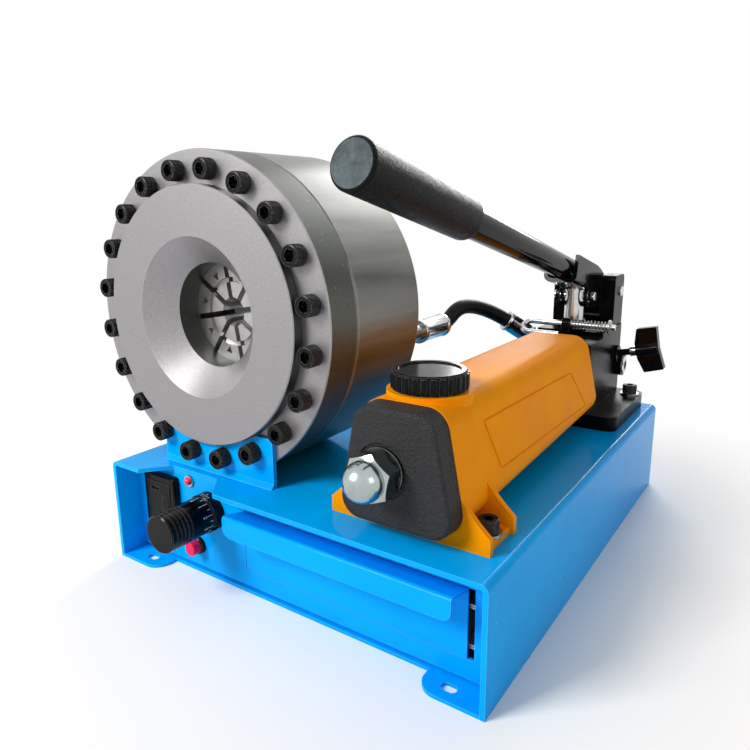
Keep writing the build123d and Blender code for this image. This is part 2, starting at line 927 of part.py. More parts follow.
with BuildPart() as tank_end_cap:
    with BuildSketch(facing(tank_front)):
        tank_outline(tank_bottom, -cap_inset)
    extrude(amount=cap_length, taper=4)
    fillet(faces().sort_by(Axis.Y)[0].edges(), 3.5)
    with BuildSketch(facing(cap_front)):
        with Locations((rod_x, rod_z)):
            Circle(washer_radius + 3)
    extrude(amount=-1.5, mode=Mode.SUBTRACT)
save(tank_end_cap.part, "tank_end_cap")

nut_seat = cap_front + washer_recess - washer_thickness

with BuildPart() as tie_rod_nut:
    with BuildSketch(facing(nut_seat)):
        with Locations((rod_x, rod_z)):
            RegularPolygon(nut_flats / 2, 6, major_radius=False, rotation=20)
    extrude(amount=nut_height * 0.5)
    with BuildSketch(Plane((rod_x, 0, rod_z), x_dir=(1, 0, 0), z_dir=(0, 0, 1))):
        with BuildLine():
            corner_radius = nut_flats / 2 / cos(radians(30))
            Polyline(
                (0, nut_seat),
                (nut_flats / 2 - 1, nut_seat),
                (corner_radius, nut_seat - 1.5),
                (corner_radius, nut_seat - nut_height * 0.5 + 2),
                (nut_flats / 2 - 1, nut_seat - nut_height * 0.5),
                (0, nut_seat - nut_height * 0.5),
                close=True,
            )
        make_face()
    revolve(axis=Axis((rod_x, 0, rod_z), (0, 1, 0)), mode=Mode.INTERSECT)
    with BuildSketch(Plane((rod_x, 0, rod_z), x_dir=(1, 0, 0), z_dir=(0, 0, 1))):
        with BuildLine():
            dome_radius = nut_flats / 2 - 1.6
            collar_y = nut_seat - nut_height * 0.5 + 1
            dome_y = nut_seat - nut_height + dome_radius
            Line((0, collar_y), (dome_radius, collar_y))
            Line((dome_radius, collar_y), (dome_radius, dome_y))
            RadiusArc((dome_radius, dome_y), (0, dome_y - dome_radius), dome_radius)
            Line((0, dome_y - dome_radius), (0, collar_y))
        make_face()
    revolve(axis=Axis((rod_x, 0, rod_z), (0, 1, 0)))
save(tie_rod_nut.part, "tie_rod_nut")

with BuildPart() as tie_rod_washer:
    with BuildSketch(facing(cap_front + washer_recess)):
        with Locations((rod_x, rod_z)):
            Circle(washer_radius)
    extrude(amount=washer_thickness)
    chamfer(faces().sort_by(Axis.Y)[0].edges(), 0.6)
save(tie_rod_washer.part, "tie_rod_washer")

filler_base = tank_top + neck_height + face_gap
filler_top = filler_base + filler_height

with BuildPart() as filler_cap:
    with BuildSketch(Plane.XY.offset(filler_base)):
        with Locations((pump_x, neck_y)):
            Circle(filler_radius - 1.5)
    extrude(amount=filler_height)
    with BuildSketch(Plane.XY.offset(filler_base + 1)):
        with Locations((pump_x, neck_y)):
            with PolarLocations(filler_radius - 2.2, filler_ribs):
                Circle(2.2)
    extrude(amount=filler_height - 3)
    chamfer(faces().sort_by(Axis.Z)[-1].edges(), 1)
    with BuildSketch(Plane.XY.offset(filler_top)):
        with Locations((pump_x, neck_y)):
            Circle(filler_radius - 6)
    extrude(amount=-1.2, mode=Mode.SUBTRACT)
    with BuildSketch(Plane.XY.offset(filler_base)):
        with Locations((pump_x, neck_y)):
            Circle(filler_bore - running_gap)
    extrude(amount=-filler_plug)
save(filler_cap.part, "filler_cap")

# ---------------------------------------------------------------- pump head casting and its screws

pump_foot_mid = (tank_rear + pump_foot_rear) / 2
pump_foot_top = base_height + pump_foot_height
rear_bolt_y = pump_foot_rear - 22.0
front_bolt_y = tank_front + foot_depth / 2
foot_bolt_x = foot_half_span - foot_bolt_inset

with BuildPart() as pump_head:
    with BuildSketch(Plane.XY.offset(base_height)):
        with Locations((pump_x, pump_foot_mid)):
            RectangleRounded(2 * foot_half_span, pump_foot_rear - tank_rear, pump_foot_corner)
        with Locations((pump_x - foot_bolt_x, rear_bolt_y), (pump_x + foot_bolt_x, rear_bolt_y)):
            Circle(foot_bolt_radius + bolt_hole_gap, mode=Mode.SUBTRACT)
    extrude(amount=pump_foot_height)
    with BuildSketch(Plane.XY.offset(pump_foot_top - 1)):
        with Locations((pump_x, pump_foot_mid)):
            RectangleRounded(2 * pump_body_half, pump_foot_rear - tank_rear, pump_body_corner)
    extrude(amount=pump_body_top - pump_foot_top + 1)
    with BuildSketch(Plane.XY.offset(pump_body_top)):
        with Locations((pump_x, (tank_rear + hook_step_y) / 2)):
            Rectangle(2 * pump_body_half, hook_step_y - tank_rear)
    extrude(amount=hook_step_top - pump_body_top, mode=Mode.SUBTRACT)
    with BuildSketch(Plane.YZ.offset(pump_x - lug_outer)):
        with Locations(((lug_front + lug_rear) / 2, (pump_body_top + lug_top) / 2 - 2)):
            Rectangle(lug_rear - lug_front, lug_top - pump_body_top + 4)
        fillet(vertices().group_by(Axis.Y)[-1], lug_corner)
    extrude(amount=2 * lug_outer)
    with BuildSketch(Plane.XY.offset(lug_top + 1)):
        with Locations((pump_x, (lug_front + lug_rear) / 2)):
            Rectangle(2 * lug_inner, lug_rear - lug_front + 2)
    extrude(amount=-(lug_top + 1 - clevis_web_top), mode=Mode.SUBTRACT)
    with BuildSketch(Plane.XY.offset(lug_top + 1)):
        with Locations((pump_x, (lug_front + lug_rear - clevis_web) / 2)):
            Rectangle(2 * lug_inner, lug_rear - lug_front - clevis_web)
    extrude(amount=-(lug_top + 1 - clevis_floor), mode=Mode.SUBTRACT)
    with BuildSketch(Plane.YZ.offset(pump_x - lug_outer - 1)):
        with Locations((pivot_y, pivot_z)):
            Circle(pivot_radius)
    extrude(amount=2 * lug_outer + 2, mode=Mode.SUBTRACT)
    with BuildSketch(Plane.XY.offset(pump_body_top)):
        with Locations((pump_x, plunger_y)):
            Circle(plunger_radius + running_gap)
    extrude(amount=-(pump_body_top - plunger_bottom + 20), mode=Mode.SUBTRACT)
    with BuildSketch(Plane.YZ.offset(pump_x + pump_body_half - 2)):
        with Locations((plug_y, plug_z)):
            Circle(plug_radius + plug_boss_wall)
    extrude(amount=plug_boss + 2)
    with BuildSketch(Plane.YZ.offset(pump_x + pump_body_half - 2)):
        with Locations((valve_y, valve_z)):
            Circle(valve_stem_radius + valve_boss_wall)
    extrude(amount=valve_boss + 2)
    with BuildSketch(Plane.YZ.offset(pump_x + pump_body_half + plug_boss)):
        with Locations((plug_y, plug_z)):
            Circle(plug_radius)
    extrude(amount=-3, mode=Mode.SUBTRACT)
    valve_way = Vector(cos(radians(valve_tilt)), 0, sin(radians(valve_tilt)))
    valve_home = Vector(pump_x + pump_body_half, valve_y, valve_z)
    with BuildSketch(Plane(valve_home - valve_way * 20, z_dir=valve_way)):
        Circle(valve_stem_radius + running_gap)
    extrude(amount=30, mode=Mode.SUBTRACT)
    with BuildSketch(Plane.YZ.offset(pump_x + hook_boss_left)):
        with Locations((hook_y, hook_z)):
            Circle(hook_boss_radius)
        with Locations((hook_y, (hook_z + hook_step_top) / 2 - 1)):
            Rectangle(2 * hook_boss_radius, hook_z - hook_step_top + 2)
        with Locations((hook_y, hook_z)):
            Circle(hook_radius + running_gap, mode=Mode.SUBTRACT)
    extrude(amount=hook_boss_right - hook_boss_left)
    with BuildSketch(Plane.YZ.offset(pump_x - pump_body_half)):
        with Locations((pump_port_y, pump_port_z)):
            Circle(port_radius)
    extrude(amount=spigot_depth + 1, mode=Mode.SUBTRACT)
save(pump_head.part, "pump_head")

with BuildPart() as gland_nut:
    with BuildSketch(Plane.XY.offset(pump_body_top)):
        with Locations((pump_x, plunger_y)):
            Circle(gland_radius)
            Circle(plunger_radius + running_gap, mode=Mode.SUBTRACT)
    extrude(amount=gland_top - pump_body_top)
    chamfer(faces().sort_by(Axis.Z)[-1].edges().sort_by(SortBy.RADIUS)[-1], 1.5)
    with BuildSketch(Plane.XY.offset(gland_top - 5)):
        with Locations((pump_x, plunger_y)):
            Circle(gland_radius + 1)
            Circle(gland_radius - 1.5, mode=Mode.SUBTRACT)
    extrude(amount=-2, mode=Mode.SUBTRACT)
save(gland_nut.part, "gland_nut")

with BuildPart() as port_plug:
    with BuildSketch(Plane.YZ.offset(pump_x + pump_body_half + 4)):
        with Locations((plug_y, plug_z)):
            Circle(plug_radius - fit_gap)
    extrude(amount=5)
    chamfer(faces().sort_by(Axis.X)[-1].edges(), 1)
    with BuildSketch(Plane.YZ.offset(pump_x + pump_body_half + 9)):
        with Locations((plug_y, plug_z)):
            RegularPolygon(5, 6, major_radius=False)
    extrude(amount=-4, mode=Mode.SUBTRACT)
save(port_plug.part, "port_plug")

foot_places = [
    (pump_x + side * foot_bolt_x, y, seat)
    for side in (-1, 1)
    for y, seat in ((front_bolt_y, base_height + foot_plate), (rear_bolt_y, pump_foot_top))
]

with BuildPart() as foot_washers:
    for x, y, seat in foot_places:
        with BuildSketch(Plane.XY.offset(seat)):
            with Locations((x, y)):
                Circle(foot_washer_radius)
                Circle(foot_bolt_radius + thread_gap, mode=Mode.SUBTRACT)
        extrude(amount=foot_washer_thickness)
save(foot_washers.part, "foot_washers")

with BuildPart() as foot_bolts:
    for x, y, seat in foot_places:
        head_seat = seat + foot_washer_thickness
        with BuildSketch(Plane.XY.offset(head_seat)):
            with Locations((x, y)):
                Circle(foot_bolt_head)
        extrude(amount=foot_bolt_head_height)
        with BuildSketch(Plane.XY.offset(head_seat + foot_bolt_head_height)):
            with Locations((x, y)):
                RegularPolygon(4, 6, major_radius=False)
        extrude(amount=-5, mode=Mode.SUBTRACT)
        with BuildSketch(Plane.XY.offset(head_seat)):
            with Locations((x, y)):
                Circle(foot_bolt_radius)
        extrude(amount=-(head_seat - base_height))
save(foot_bolts.part, "foot_bolts")

# ---------------------------------------------------------------- plunger, pins and handle

with BuildPart() as plunger:
    with BuildSketch(Plane.XY.offset(plunger_bottom)):
        with Locations((pump_x, plunger_y)):
            Circle(plunger_radius)
    extrude(amount=plunger_top - plunger_bottom)
    chamfer(faces().sort_by(Axis.Z)[-1].edges(), 3)
    with BuildSketch(Plane.YZ.offset(pump_x - plunger_radius - 1)):
        with Locations((plunger_y, plunger_pin_z)):
            Circle(plunger_pin_radius)
    extrude(amount=2 * plunger_radius + 2, mode=Mode.SUBTRACT)
save(plunger.part, "plunger")

with BuildPart() as plunger_pin:
    with BuildSketch(Plane.YZ.offset(pump_x - plunger_pin_half)):
        with Locations((plunger_y, plunger_pin_z)):
            Circle(plunger_pin_radius)
    extrude(amount=2 * plunger_pin_half)
    chamfer(edges().filter_by(GeomType.CIRCLE), 1)
save(plunger_pin.part, "plunger_pin")

pivot_half = lug_outer + 2.5

with BuildPart() as pivot_pin:
    with BuildSketch(Plane.YZ.offset(pump_x - pivot_half)):
        with Locations((pivot_y, pivot_z)):
            Circle(pivot_radius)
    extrude(amount=2 * pivot_half)
    chamfer(edges().filter_by(GeomType.CIRCLE), 1.2)
save(pivot_pin.part, "pivot_pin")

tilt = radians(handle_tilt)
handle_way = Vector(0, -cos(tilt), sin(tilt))
handle_up_way = Vector(0, sin(tilt), cos(tilt))
pivot_home = Vector(pump_x, pivot_y, pivot_z)
pin_reach = pivot_y - plunger_y
pin_drop = pivot_z - plunger_pin_z
pin_along = pin_reach * cos(tilt) - pin_drop * sin(tilt)
pin_across = -pin_reach * sin(tilt) - pin_drop * cos(tilt)
pin_angle = degrees(atan(pin_across / pin_along))
slot_middle = pin_reach + 2.4
slot_length = 5.4
slot_radius = plunger_pin_radius + 1.6
slot_x = slot_middle * cos(radians(pin_angle))
slot_y = slot_middle * sin(radians(pin_angle))
yoke_floor = handle_offset - tube_radius
cheek_radius = 14.0
lobe_radius = 12.5

with BuildPart() as handle_yoke:
    for side in (-1, 1):
        outer_face = pivot_home + Vector(side * yoke_half, 0, 0)
        with BuildSketch(Plane(outer_face, x_dir=handle_way, z_dir=(-1, 0, 0))):
            Circle(cheek_radius)
            with Locations((slot_x, slot_y)):
                Circle(lobe_radius)
            make_hull()
            Polygon(
                (0, cheek_radius),
                (28, yoke_top - 2),
                (44, yoke_top),
                (tube_start + 4, yoke_top),
                (tube_start + 4, yoke_floor - yoke_plate + yoke_corner),
                (yoke_floor_start, yoke_floor - yoke_plate + 1),
                (slot_x, slot_y),
                align=None,
            )
            Circle(pivot_radius + running_gap, mode=Mode.SUBTRACT)
            with Locations(Location((slot_x, slot_y), pin_angle)):
                SlotCenterToCenter(slot_length, 2 * slot_radius, mode=Mode.SUBTRACT)
        extrude(amount=side * yoke_plate)
    channel_start = pivot_home + handle_way * yoke_floor_start
    with BuildSketch(Plane(channel_start, x_dir=(1, 0, 0), z_dir=handle_way)):
        with BuildLine():
            yoke_low = yoke_floor - yoke_plate
            inner_half = yoke_half - yoke_plate
            FilletPolyline(
                (-yoke_half, yoke_top),
                (-yoke_half, yoke_low),
                (yoke_half, yoke_low),
                (yoke_half, yoke_top),
                radius=yoke_corner,
            )
            Line((yoke_half, yoke_top), (inner_half, yoke_top))
            FilletPolyline(
                (inner_half, yoke_top),
                (inner_half, yoke_floor),
                (-inner_half, yoke_floor),
                (-inner_half, yoke_top),
                radius=yoke_corner - yoke_plate,
            )
            Line((-inner_half, yoke_top), (-yoke_half, yoke_top))
        make_face()
    extrude(amount=yoke_front - yoke_floor_start)
save(handle_yoke.part, "handle_yoke")

tube_home = pivot_home + handle_up_way * handle_offset
tube_end = grip_end - 10.0

with BuildPart() as handle_tube:
    with BuildSketch(Plane(tube_home + handle_way * tube_start, z_dir=handle_way)):
        Circle(tube_radius)
    extrude(amount=tube_end - tube_start)
    with BuildSketch(Plane(tube_home + handle_way * (tube_start + tube_wall), z_dir=handle_way)):
        Circle(tube_radius - tube_wall)
    extrude(amount=tube_end - tube_start - tube_wall, mode=Mode.SUBTRACT)
save(handle_tube.part, "handle_tube")

with BuildPart() as handle_grip:
    with BuildSketch(Plane(tube_home + handle_way * grip_start, z_dir=handle_way)):
        Circle(grip_radius)
    extrude(amount=grip_end - grip_start)
    fillet(faces().sort_by(Axis.Y)[-1].edges(), 3.5)
    fillet(faces().sort_by(Axis.Y)[0].edges(), 3)
    with BuildSketch(Plane(tube_home + handle_way * grip_start, z_dir=handle_way)):
        Circle(tube_radius)
    extrude(amount=tube_end - grip_start, mode=Mode.SUBTRACT)
save(handle_grip.part, "handle_grip")

# ---------------------------------------------------------------- release valve

with BuildPart() as valve_stem:
    with BuildSketch(Plane(valve_home - valve_way * 12, z_dir=valve_way)):
        Circle(valve_stem_radius)
    extrude(amount=12 + valve_knob_start + valve_knob_length - 6)
save(valve_stem.part, "valve_stem")

collar_home = valve_home + valve_way * valve_collar_start

with BuildPart() as valve_collar:
    with BuildSketch(Plane(collar_home, z_dir=valve_way)):
        Circle(valve_collar_radius)
        Circle(valve_stem_radius, mode=Mode.SUBTRACT)
    extrude(amount=valve_knob_start - valve_collar_start)
    chamfer(edges().filter_by(GeomType.CIRCLE).sort_by(Axis.X)[0], 0.8)
save(valve_collar.part, "valve_collar")

hub_home = valve_home + valve_way * valve_knob_start
wing_start = 30.0 - valve_knob_start
wing_end = valve_knob_length

with BuildPart() as valve_knob:
    with BuildSketch(Plane(valve_home + valve_way * valve_knob_start, x_dir=valve_way, z_dir=(0, -1, 0))):
        Polygon(
            (0, 9),
            (wing_start, valve_knob_half),
            (wing_end, valve_knob_half - 1),
            (wing_end - 2, 0),
            (wing_end, 1 - valve_knob_half),
            (wing_start, -valve_knob_half),
            (0, -9),
            align=None,
        )
        fillet(vertices(), 1.5)
    extrude(amount=valve_knob_thickness / 2, both=True)
    with BuildSketch(Plane(hub_home, z_dir=valve_way)):
        Circle(valve_collar_radius + 2)
    extrude(amount=valve_knob_length - 3)
    with BuildSketch(Plane(hub_home, z_dir=valve_way)):
        Circle(valve_stem_radius)
    extrude(amount=valve_knob_length - 6, mode=Mode.SUBTRACT)
save(valve_knob.part, "valve_knob")

# ---------------------------------------------------------------- lock hook with its spring and washer

hook_span = hypot(hook_y - hook_return_y, hook_z - hook_return_z)
hook_fall = Vector(0, hook_return_y - hook_y, hook_return_z - hook_z).normalized()
hook_plane = Plane((pump_x, hook_y, hook_z), x_dir=(1, 0, 0), z_dir=Vector(1, 0, 0).cross(hook_fall))
hook_bend = hook_span / 2

with BuildPart() as lock_hook:
    with BuildLine(hook_plane) as hook_line:
        Line((hook_right, 0), (hook_left, 0))
        ThreePointArc((hook_left, 0), (hook_left - hook_bend, hook_bend), (hook_left, hook_span))
        Line((hook_left, hook_span), (hook_return, hook_span))
    with BuildSketch(Plane((pump_x + hook_right, hook_y, hook_z), z_dir=(-1, 0, 0))):
        Circle(hook_radius)
    sweep(path=hook_line.wires()[0])
    chamfer(edges().filter_by(GeomType.CIRCLE).sort_by(Axis.X)[-1], 1)
save(lock_hook.part, "lock_hook")

spring_wire = 0.8
spring_length = hook_washer_x - hook_boss_right
spring_turns = 9
spring_path_radius = hook_radius + 0.9 + spring_wire

with BuildPart() as lock_spring:
    with BuildLine():
        coil = Helix(
            pitch=(spring_length - 2 * spring_wire) / spring_turns,
            height=spring_length - 2 * spring_wire,
            radius=spring_path_radius,
            center=(pump_x + hook_boss_right + spring_wire, hook_y, hook_z),
            direction=(1, 0, 0),
        )
    with BuildSketch(Plane(coil @ 0, z_dir=coil % 0)):
        Circle(spring_wire)
    sweep(path=coil)
save(lock_spring.part, "lock_spring")

with BuildPart() as lock_washer:
    with BuildSketch(Plane.YZ.offset(pump_x + hook_washer_x)):
        with Locations((hook_y, hook_z)):
            Circle(hook_spring_radius + 2)
            Circle(hook_radius, mode=Mode.SUBTRACT)
    extrude(amount=hook_washer)
save(lock_washer.part, "lock_washer")

# ---------------------------------------------------------------- hose, ferrules and adapters

hex_end = head_back + head_adapter_hex_length

with BuildPart() as head_adapter:
    with BuildSketch(facing(hex_end)):
        with Locations((hose_port_x, hose_port_z)):
            RegularPolygon(head_adapter_hex / 2, 6, major_radius=False)
    extrude(amount=head_adapter_hex_length)
    with BuildSketch(facing(ferrule_start)):
        with Locations((hose_port_x, hose_port_z)):
            Circle(head_adapter_radius)
    extrude(amount=ferrule_start - hex_end + 1)
    with BuildSketch(facing(head_back + 1)):
        with Locations((hose_port_x, hose_port_z)):
            Circle(port_radius)
    extrude(amount=spigot_depth + 1)
save(head_adapter.part, "head_adapter")


def ferrule_profile(length):
    """Draw half of a crimped ferrule's section, from its closed end at 0 to its open end."""
    waist = ferrule_radius - 0.7
    Polygon(
        (0, 0),
        (ferrule_radius - 1, 0),
        (ferrule_radius, 1),
        (ferrule_radius, 5),
        (waist, 6),
        (waist, length - 4),
        (ferrule_radius, length - 3),
        (ferrule_radius, length - 1),
        (ferrule_radius - 1, length),
        (hose_radius + fit_gap, length),
        (hose_radius + fit_gap, length - ferrule_grip),
        (0, length - ferrule_grip),
        align=None,
    )


head_ferrule_home = Vector(hose_port_x, ferrule_start, hose_port_z)

with BuildPart() as head_ferrule:
    with BuildSketch(Plane(head_ferrule_home, x_dir=(1, 0, 0), z_dir=(0, 0, 1))):
        ferrule_profile(ferrule_end - ferrule_start)
    revolve(axis=Axis(head_ferrule_home, (0, 1, 0)))
save(head_ferrule.part, "head_ferrule")

pump_way = Vector(*pump_ferrule_way).normalized()
pump_hose_end = Vector(*pump_ferrule_start)
pump_ferrule_home = pump_hose_end + pump_way * pump_ferrule_length
pump_side = Vector(0, 0, 1).cross(pump_way).normalized()

with BuildPart() as pump_ferrule:
    with BuildSketch(Plane(pump_ferrule_home, x_dir=pump_side, z_dir=pump_way.cross(pump_side))):
        ferrule_profile(pump_ferrule_length)
    revolve(axis=Axis(pump_ferrule_home, pump_way))
save(pump_ferrule.part, "pump_ferrule")

elbow_hex_home = Vector(pump_x - pump_body_half, pump_port_y, pump_port_z)

with BuildPart() as pump_adapter:
    with BuildSketch(Plane(pump_ferrule_home, z_dir=pump_way)):
        Circle(elbow_radius - 2)
    with BuildSketch(Plane(elbow_hex_home - Vector(6, 0, 0), z_dir=(1, 0, 0))):
        Circle(elbow_radius - 2)
    loft()
    with BuildSketch(Plane(elbow_hex_home, z_dir=(-1, 0, 0))):
        RegularPolygon(elbow_radius, 6, major_radius=False)
    extrude(amount=6)
    with BuildSketch(Plane(elbow_hex_home - Vector(1, 0, 0), z_dir=(1, 0, 0))):
        Circle(port_radius)
    extrude(amount=spigot_depth + 1)
save(pump_adapter.part, "pump_adapter")

hose_points = [
    Vector(hose_port_x, ferrule_end - ferrule_grip, hose_port_z),
    Vector(hose_port_x, ferrule_end + ferrule_grip - 0.5, hose_port_z),
    Vector(8, 86, 228),
    Vector(17, 114, 226),
    pump_hose_end - pump_way * (ferrule_grip + 1),
    pump_hose_end + pump_way * ferrule_grip,
]
hose_runs = [(end - start).length for start, end in zip(hose_points, hose_points[1:])]
hose_bends = []
corners = zip(hose_runs, hose_runs[1:], hose_points, hose_points[1:], hose_points[2:])
for before, after, start, middle, end in corners:
    turn = (middle - start).get_angle(end - middle)
    hose_bends.append(0.45 * min(before, after) / tan(radians(turn) / 2))
print("hose bend radii, mm:", [round(bend, 1) for bend in hose_bends])

with BuildPart() as hose:
    with BuildLine() as hose_line:
        FilletPolyline(*hose_points, radius=hose_bends)
    with BuildSketch(Plane(hose_line.line @ 0, z_dir=hose_line.line % 0)):
        Circle(hose_radius)
    sweep(path=hose_line.wires()[0])
hose_length = hose_line.wires()[0].length
hose_section = pi * hose_radius**2
print("hose volume over section times length:", round(hose.part.volume / (hose_section * hose_length), 4))
save(hose.part, "hose")
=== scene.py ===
import bpy
import bmesh
from math import cos, pi, radians, sin, tau
from mathutils import Matrix, Vector
from mathutils.bvhtree import BVHTree


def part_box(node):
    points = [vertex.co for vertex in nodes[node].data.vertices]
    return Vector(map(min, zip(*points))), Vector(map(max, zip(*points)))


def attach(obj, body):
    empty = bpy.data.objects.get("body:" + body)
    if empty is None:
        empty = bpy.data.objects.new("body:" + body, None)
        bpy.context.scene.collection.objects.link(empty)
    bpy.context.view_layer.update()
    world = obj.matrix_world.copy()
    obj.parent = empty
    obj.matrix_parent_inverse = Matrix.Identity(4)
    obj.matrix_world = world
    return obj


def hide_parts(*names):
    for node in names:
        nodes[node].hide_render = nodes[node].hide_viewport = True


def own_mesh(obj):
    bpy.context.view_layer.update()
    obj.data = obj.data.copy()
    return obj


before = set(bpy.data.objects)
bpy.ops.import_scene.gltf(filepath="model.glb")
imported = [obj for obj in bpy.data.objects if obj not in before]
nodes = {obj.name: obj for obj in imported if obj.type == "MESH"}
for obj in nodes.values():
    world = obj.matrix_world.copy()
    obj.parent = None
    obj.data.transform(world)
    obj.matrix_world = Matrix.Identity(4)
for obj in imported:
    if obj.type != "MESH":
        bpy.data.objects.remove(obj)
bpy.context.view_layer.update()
print("frame loaded:", len(nodes), "nodes")

# camera: to the right of the front, a little above the die head
cameraSettings = {
    "place": (0.3561, -0.5934, 0.3392),
    "turnDegrees": (76.949, 0.735, 34.98),
    "lens": 31.71,
    "shift": (0.0111, -0.0174),
}
cameraData = bpy.data.cameras.new("camera")
cameraData.lens = cameraSettings["lens"]
cameraData.shift_x, cameraData.shift_y = cameraSettings["shift"]
cameraData.clip_start = 0.01
cameraObject = bpy.data.objects.new("camera", cameraData)
cameraObject.location = cameraSettings["place"]
cameraObject.rotation_euler = [radians(angle) for angle in cameraSettings["turnDegrees"]]
bpy.context.scene.collection.objects.link(cameraObject)
bpy.context.scene.camera = cameraObject
print("camera set")

# hydraulic hose between its two ferrules
hoseSettings = {
    "routePoints": [
        (0.0, 0.051, 0.210),
        (0.0, 0.0705, 0.210),
        (0.008, 0.086, 0.228),
        (0.017, 0.114, 0.226),
        (0.03208, 0.14596, 0.21204),
        (0.04529, 0.15750, 0.20050),
    ],
    "radius": 0.0085,
    "length": 0.128,
    "exit": (0.0, 0.061, 0.210),
    "stepsAlong": 24,
    "stepsAround": 8,
}


def makeHose(settings):
    curve = bpy.data.curves.new("hoseCover", "CURVE")
    curve.dimensions = "3D"
    spline = curve.splines.new("NURBS")
    spline.points.add(len(settings["routePoints"]) - 1)
    for point, place in zip(spline.points, settings["routePoints"]):
        point.co = (*place, 1.0)
        point.radius = settings["radius"]
    spline.order_u = 3
    spline.use_endpoint_u = True
    curve.resolution_u = settings["stepsAlong"]
    curve.bevel_depth = 1.0  # the thickness is in the points' own radius
    curve.bevel_resolution = settings["stepsAround"]
    curve.use_fill_caps = True
    hose = bpy.data.objects.new("hoseCover", curve)
    bpy.context.scene.collection.objects.link(hose)
    return hose


hoseCover = makeHose(hoseSettings)
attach(hoseCover, "base")
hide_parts("hose")
print("hose laid")


# shader node groups that several finishes share
groupSettings = {
    "noiseRoughness": 0.6,
    "noiseLow": 0.3,
    "noiseHigh": 0.7,
    "grainDetail": 3.0,
    "mottleDetail": 5.0,
    "edgeSamples": 4,
    "edgeNoiseScale": 90.0,
    "edgeGain": 16.0,
    "ringDistortion": 1.5,
    "ringDetail": 2.0,
    "ringDetailScale": 3.0,
}


def newGroup(name, inputs, outputs):
    group = bpy.data.node_groups.new(name, "ShaderNodeTree")
    for socketName, socketType, value in inputs:
        socket = group.interface.new_socket(name=socketName, in_out="INPUT", socket_type=socketType)
        if value is not None:
            socket.default_value = value
    for socketName, socketType in outputs:
        group.interface.new_socket(name=socketName, in_out="OUTPUT", socket_type=socketType)
    return group, group.nodes.new("NodeGroupInput"), group.nodes.new("NodeGroupOutput")


def mathNode(tree, operation, first, second=None, clamp=False):
    node = tree.nodes.new("ShaderNodeMath")
    node.operation = operation
    node.use_clamp = clamp
    for socket, value in zip(node.inputs, (first, second)):
        if value is None:
            continue
        if isinstance(value, (int, float)):
            socket.default_value = value
        else:
            tree.links.new(value, socket)
    return node.outputs[0]


# fine grain for the bump, and a slow mottle for colour and gloss
def makeGrainGroup(settings):
    group, entry, result = newGroup(
        "grain",
        [
            ("Vector", "NodeSocketVector", None),
            ("Grain Scale", "NodeSocketFloat", 900.0),
            ("Mottle Scale", "NodeSocketFloat", 25.0),
        ],
        [("Height", "NodeSocketFloat"), ("Mottle", "NodeSocketFloat")],
    )
    layers = (
        (settings["grainDetail"], "Grain Scale", "Height"),
        (settings["mottleDetail"], "Mottle Scale", "Mottle"),
    )
    for detail, scaleName, outputName in layers:
        noise = group.nodes.new("ShaderNodeTexNoise")
        noise.inputs["Detail"].default_value = detail
        noise.inputs["Roughness"].default_value = settings["noiseRoughness"]
        group.links.new(entry.outputs["Vector"], noise.inputs["Vector"])
        group.links.new(entry.outputs[scaleName], noise.inputs["Scale"])
        spread = group.nodes.new("ShaderNodeMapRange")  # noise keeps near 0.5, so it is spread to 0..1
        spread.inputs["From Min"].default_value = settings["noiseLow"]
        spread.inputs["From Max"].default_value = settings["noiseHigh"]
        group.links.new(noise.outputs["Fac"], spread.inputs["Value"])
        group.links.new(spread.outputs["Result"], result.inputs[outputName])
    return group


# round specks, such as dust nibs and pin marks: 1 on a speck, 0 elsewhere
def makeSpeckGroup():
    group, entry, result = newGroup(
        "specks",
        [
            ("Vector", "NodeSocketVector", None),
            ("Scale", "NodeSocketFloat", 120.0),
            ("Share", "NodeSocketFloat", 0.2),
            ("Size", "NodeSocketFloat", 0.15),
        ],
        [("Mask", "NodeSocketFloat")],
    )
    cells = group.nodes.new("ShaderNodeTexVoronoi")
    group.links.new(entry.outputs["Vector"], cells.inputs["Vector"])
    group.links.new(entry.outputs["Scale"], cells.inputs["Scale"])
    pick = group.nodes.new("ShaderNodeSeparateColor")
    group.links.new(cells.outputs["Color"], pick.inputs["Color"])
    chosen = mathNode(group, "LESS_THAN", pick.outputs["Red"], entry.outputs["Share"])
    sized = mathNode(group, "MULTIPLY", pick.outputs["Green"], entry.outputs["Size"])
    inside = mathNode(group, "LESS_THAN", cells.outputs["Distance"], sized)
    group.links.new(mathNode(group, "MULTIPLY", chosen, inside), result.inputs["Mask"])
    return group


# painted edge highlights: 1 along a convex or concave edge, 0 on flat ground
def makeEdgeGroup(settings):
    group, entry, result = newGroup(
        "paintedEdgeHighlights",
        [
            ("Vector", "NodeSocketVector", None),
            ("Amount", "NodeSocketFloat", 1.0),
            ("Radius", "NodeSocketFloat", 0.0008),
        ],
        [("Mask", "NodeSocketFloat")],
    )
    rounded = group.nodes.new("ShaderNodeBevel")
    rounded.samples = settings["edgeSamples"]
    group.links.new(entry.outputs["Radius"], rounded.inputs["Radius"])
    shape = group.nodes.new("ShaderNodeNewGeometry")
    facing = group.nodes.new("ShaderNodeVectorMath")
    facing.operation = "DOT_PRODUCT"
    group.links.new(rounded.outputs["Normal"], facing.inputs[0])
    group.links.new(shape.outputs["Normal"], facing.inputs[1])
    bend = mathNode(group, "SUBTRACT", 1.0, facing.outputs["Value"])
    noise = group.nodes.new("ShaderNodeTexNoise")
    noise.inputs["Scale"].default_value = settings["edgeNoiseScale"]
    group.links.new(entry.outputs["Vector"], noise.inputs["Vector"])
    broken = mathNode(group, "MULTIPLY", bend, noise.outputs["Fac"])
    strong = mathNode(group, "MULTIPLY", broken, settings["edgeGain"], clamp=True)
    group.links.new(mathNode(group, "MULTIPLY", strong, entry.outputs["Amount"]), result.inputs["Mask"])
    return group


